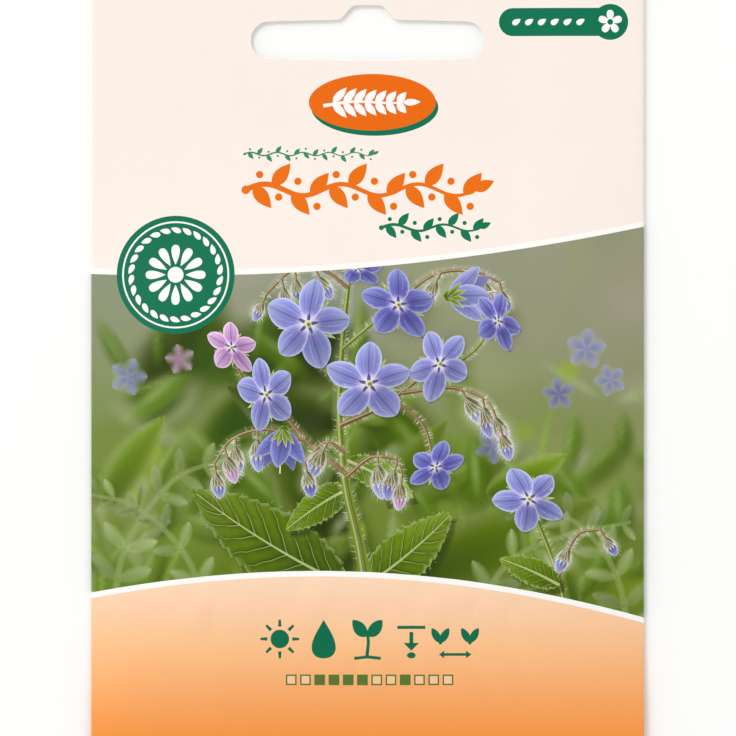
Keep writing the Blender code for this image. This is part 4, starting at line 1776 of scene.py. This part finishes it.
@dataclass
class Envelope:
    """The folded sheet as two closed pieces: the front with its folds and flaps, and the back."""

    form: FoldedForm
    slot: HangSlot
    seeds: Object
    front_relief: PaperRelief = PaperRelief()
    back_relief: PaperRelief = PaperRelief(lift=0.0, cockle=0.0)
    shine: float = 0.012
    fold_lines: int = 8
    sharp_edge: float = 45.0
    focus: Box = ((-21.5, -20.5), (20.5, 17.5))
    picture: Box = ((-41.0, -37.0), (41.0, 22.0))
    spacings: tuple[float, float, float, float] = (0.44, 0.7, 1.4, 1.2)
    front_chart: tuple[float, Pair] = (0.98, (0.01, 0.01))
    bare_chart: tuple[float, Pair] = (0.24, (0.75, 0.02))

    def front_sheet(self) -> PrintedSheet:
        """The front blank with its print, its fold lines and its sample points."""
        form, blank = self.form, self.form.front_blank()
        sheet = PrintedSheet(blank, self.slot.outline(), Flat(FrontPrint.cream))
        FrontPrint(sheet, form).print_all()
        left_arc, right_arc, bottom_arc = form.arcs
        for place in range(self.fold_lines + 1):
            share = place / self.fold_lines
            for x in (form.left_x - left_arc * share, form.right_x + right_arc * share):
                sheet.crease((x, form.bottom_y), (x, form.top_y))
            y = form.bottom_y - bottom_arc * share
            sheet.crease((form.left_x + form.flap_inset, y), (form.right_x - form.flap_inset, y))
        fine, middling, coarse, _ = self.spacings
        sheet.sample(self.focus, fine)
        sheet.sample(self.picture, middling, self.focus)
        sheet.sample(box_of(blank), coarse, self.picture)
        return sheet

    def back_sheet(self) -> PrintedSheet:
        """The back blank with its print and its sample points."""
        blank = self.form.back_blank()
        sheet = PrintedSheet(blank, self.slot.outline() * (-1.0, 1.0), Flat(FrontPrint.cream))
        BackPrint(sheet, self.form).print_all()
        sheet.sample(box_of(blank), self.spacings[3])
        return sheet

    def middle(self, name: str, cut: CutPrint, place: Callable[[Array], Array]) -> Object:
        """Folds a cut sheet into the middle surfaces of its two sides, as one object."""
        points = place(np.concatenate([cut.points, cut.back_points])) * MM
        faces = cut.faces.tolist() + (cut.back_faces + len(cut.points)).tolist()
        return object_of(name, mesh_of(name, points.tolist(), faces))

    def chart(self, cut: CutPrint, rim: Array) -> Array:
        """Where each face corner lies on the piece's map: the print large, the bare side small.

        Args:
            cut: the flat sheet.
            rim: the back points of the rim's corners.

        Returns:
            One place on the map for each corner of the printed side, the bare side and the rim.
        """
        low, size = cut.points.min(axis=0), np.ptp(cut.points, axis=0).max()
        sides = (cut.points, self.front_chart), (cut.back_points, self.bare_chart)
        front, bare = ((points - low) / size * scale + corner for points, (scale, corner) in sides)
        return np.concatenate([front[cut.faces.ravel()], bare[cut.back_faces[:, ::-1].ravel()], bare[rim]])

    def inks(self, cut: CutPrint, corners: int) -> Array:
        """The colours of the shell's face corners, less what the surface's own shine adds.

        Args:
            cut: the flat sheet.
            corners: the number of the shell's face corners.

        Returns:
            Linear red, green, blue and alpha for each corner; the printed side's come first.
        """
        colours = np.ones((corners, 4))
        colours[:, :3] = linear(CoatedPaper.colour)
        printed = (linear(cut.colours.reshape(-1, 3)) - self.shine) / (1.0 - self.shine)
        colours[: len(printed), :3] = np.maximum(printed, 0.0)
        return colours

    def shell(self, name: str, cut: CutPrint, folded: Mesh,
              finishes: Sequence[Material]) -> Object:
        """Gives a folded sheet its thickness.

        Args:
            name: the piece's name.
            cut: the flat sheet that it was folded from.
            folded: the paper's middle surface, as middle makes it.
            finishes: the printed side's material, then the bare side's.

        Returns:
            The piece, with its print in an attribute and its flat sheet as the bake's map.
        """
        count = len(cut.points)
        middle = np.empty(len(folded.vertices) * 3, np.float32)
        normals = np.empty_like(middle)
        folded.vertices.foreach_get("co", middle)
        folded.vertex_normals.foreach_get("vector", normals)
        out = np.where(np.arange(len(folded.vertices)) < count, 1.0, -1.0)[:, None]
        points = middle.reshape(-1, 3) + normals.reshape(-1, 3) * out * self.form.paper / 2 * MM
        edges = [(a, b, cut.partners[a], cut.partners[b]) for a, b in one_way_edges(cut.faces).items()]
        rim = [(b, a, under_a + count, under_b + count) for a, b, under_a, under_b in edges]
        faces = [*cut.faces.tolist(), *(cut.back_faces[:, ::-1] + count).tolist(), *rim]
        mesh = mesh_of(name, points.tolist(), faces)
        chart = self.chart(cut, np.array([(b, a, a, b) for *_, a, b in edges]).ravel())
        layer = mesh.color_attributes.new("print", "FLOAT_COLOR", "CORNER")
        layer.data.foreach_set("color", self.inks(cut, len(chart)).astype(np.float32).ravel())
        bake = mesh.uv_layers.new(name="OFBake")
        bake.uv.foreach_set("vector", chart.astype(np.float32).ravel())
        for finish in finishes:
            mesh.materials.append(finish)
        slots = (np.arange(len(faces)) >= len(cut.faces)).astype(np.int32)
        mesh.polygons.foreach_set("material_index", slots)
        mesh.shade_smooth()
        mesh.set_sharp_from_angle(angle=math.radians(self.sharp_edge))
        mesh.update()
        return object_of(name, mesh)

    def build(self) -> list[Object]:
        """Builds both pieces in their print and paper."""
        finishes = [CoatedPaper().build(), CoatedPaper("bare_paper", printed=False).build()]
        made = []
        for name, sheet, place, relief in (
            ("printed_front", self.front_sheet(), self.form.fold, self.front_relief),
            ("back_panel", self.back_sheet(), self.form.turn_over, self.back_relief),
        ):
            cut = sheet.cut()
            middle = self.middle(f"{name}_middle", cut, place)
            folded = relief.tree(self.seeds, finishes[0]).apply(middle)
            piece = self.shell(name, cut, folded, finishes)
            bpy.data.objects.remove(middle)
            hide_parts("paper_envelope")
            log.info("%s: %d printed and %d plain triangles", name, len(cut.faces), len(cut.back_faces))
            made.append(piece)
        return made


@dataclass
class Seeds:
    """The loose seeds: the frame's own nutlets, rounded and with fine warts."""

    wart: float = 0.06
    wart_spacing: float = 0.7
    levels: int = 1
    crease: float = 0.25
    merge: float = 0.01

    def joined(self) -> tuple[Object, list[str]]:
        """One object with every seed of the frame.

        Returns:
            The object, and the names of the seeds in it.
        """
        names = sorted(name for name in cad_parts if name.startswith("seed_"))
        points, faces = [], []
        for name in names:
            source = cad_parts[name].data
            first = len(points)
            points.extend(tuple(vertex.co) for vertex in source.vertices)
            faces.extend([first + corner for corner in face.vertices] for face in source.polygons)
        return object_of("seeds_joined", mesh_of("seeds_joined", points, faces)), names

    def tree(self) -> ShapeTree:
        """The geometry tree that merges, rounds and roughens the seeds."""
        tree = ShapeTree("seed_coat", {
            "levels": self.levels, "crease": self.crease, "merge": self.merge * MM,
            "wart": self.wart * MM, "wart_scale": per_metre(self.wart_spacing),
            "coat": SeedCoat().build()})
        given, node, calculate = tree.given, tree.node, tree.calculate
        merged = node("GeometryNodeMergeByDistance", {
            "Geometry": given["shape"], "Distance": given["merge"]})
        rounded = node("GeometryNodeSubdivisionSurface", {
            "Mesh": merged, "Level": given["levels"], "Edge Crease": given["crease"]})
        warts = node("ShaderNodeTexNoise", {
            "Vector": node("GeometryNodeInputPosition"), "Scale": given["wart_scale"], "Detail": 2.0})
        height = calculate("MULTIPLY", calculate("SUBTRACT", warts, 0.6), given["wart"])
        offset = node("ShaderNodeVectorMath", {0: node("GeometryNodeInputNormal"), "Scale": height},
                      operation="SCALE")
        tree.end(rounded, offset, "coat")
        return tree

    def build(self) -> Object:
        """Builds the seeds' piece, which stands for all their nodes."""
        rough, names = self.joined()
        mesh = self.tree().apply(rough)
        bpy.data.objects.remove(rough)
        mesh.shade_smooth()
        piece = object_of("loose_seeds", mesh)
        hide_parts(*names)
        log.info("loose_seeds: %d seeds, %d faces", len(names), len(mesh.polygons))
        return piece


@dataclass(frozen=True)
class GlueFilms:
    """The dried glue of the seams and the mouth, in the frame's own solids."""

    ending: str = "_glue"

    def build(self) -> None:
        """Gives each film its material."""
        glue = DriedGlue().build()
        for name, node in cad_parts.items():
            if name.endswith(self.ending):
                node.data.materials.clear()
                node.data.materials.append(glue)
                log.info("%s: dressed", name)


@dataclass
class Studio:
    """The floor, the soft light and the camera over the packet."""

    view_width: float = 106.47
    view_centre: Pair = (0.07, 0.25)
    print_height: float = 0.8
    lens: float = 200.0
    sensor: float = 36.0
    floor_z: float = -0.05
    floor_reach: float = 2000.0
    sky: float = 1.03
    overhead: float = 0.08
    overhead_edge: Pair = (0.78, 0.94)
    key_place: tuple[float, float, float] = (-0.9, 1.0, 1.4)
    key_size: float = 0.9
    key_power: float = 13.8

    def floor(self) -> None:
        """A pale board under the packet."""
        reach = self.floor_reach
        corners = [(x * MM, y * MM, self.floor_z * MM) for x, y in rectangle(-reach, -reach, reach, reach)]
        mesh = mesh_of("floor", corners, [(0, 1, 2, 3)])
        mesh.materials.append(StudioBoard().build())
        object_of("floor", mesh)

    def sky_light(self) -> None:
        """An even pale sky that is dark straight overhead, where it would shine in the print."""
        world = bpy.data.worlds.new("sky")
        world.use_nodes = True
        tree, background = world.node_tree, world.node_tree.nodes["Background"]
        way = add_node(tree, "ShaderNodeTexCoord").outputs["Generated"]
        up = add_node(tree, "ShaderNodeSeparateXYZ", {0: way}).outputs["Z"]
        low, high = self.overhead_edge
        glow = add_node(tree, "ShaderNodeMapRange", {
            "Value": up, "From Min": low, "From Max": high, "To Min": self.sky,
            "To Max": self.overhead}, interpolation_type="SMOOTHSTEP")
        tree.links.new(glow.outputs[0], background.inputs["Strength"])
        background.inputs["Color"].default_value = (1.0, 1.0, 1.0, 1.0)
        bpy.context.scene.world = world

    def key_light(self) -> None:
        """One large soft light from the upper left."""
        lamp = bpy.data.lights.new("key", "AREA")
        lamp.size, lamp.energy = self.key_size, self.key_power
        made = object_of("key", lamp)
        made.location = self.key_place
        made.rotation_euler = (-Vector(self.key_place)).to_track_quat("-Z", "Y").to_euler()

    def camera(self) -> None:
        """The camera, straight above, framed as the photograph is."""
        camera = bpy.data.cameras.new("camera")
        camera.lens, camera.sensor_width, camera.sensor_fit = self.lens, self.sensor, "HORIZONTAL"
        made = object_of("camera", camera)
        distance = self.view_width * self.lens / self.sensor
        made.location = Vector((*self.view_centre, distance + self.print_height)) * MM
        bpy.context.scene.camera = made

    def build(self) -> None:
        """Sets up the whole studio and plain colour handling."""
        self.floor()
        self.sky_light()
        self.key_light()
        self.camera()
        view = bpy.context.scene.view_settings
        view.view_transform, view.look, view.exposure, view.gamma = "Standard", "None", 0.0, 1.0


def main() -> None:
    """Builds and dresses the packet, and sets up the studio."""
    low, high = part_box("paper_envelope")
    form = FoldedForm((high[0] - low[0]) / MM, (high[1] - low[1]) / MM)
    seeds = Seeds().build()
    pieces = [seeds, *Envelope(form, HangSlot(form.top_y - form.slot_drop), seeds).build()]
    GlueFilms().build()
    for piece in pieces:
        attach(piece, "root")
    Studio().build()


if __name__ == "__main__":
    main()
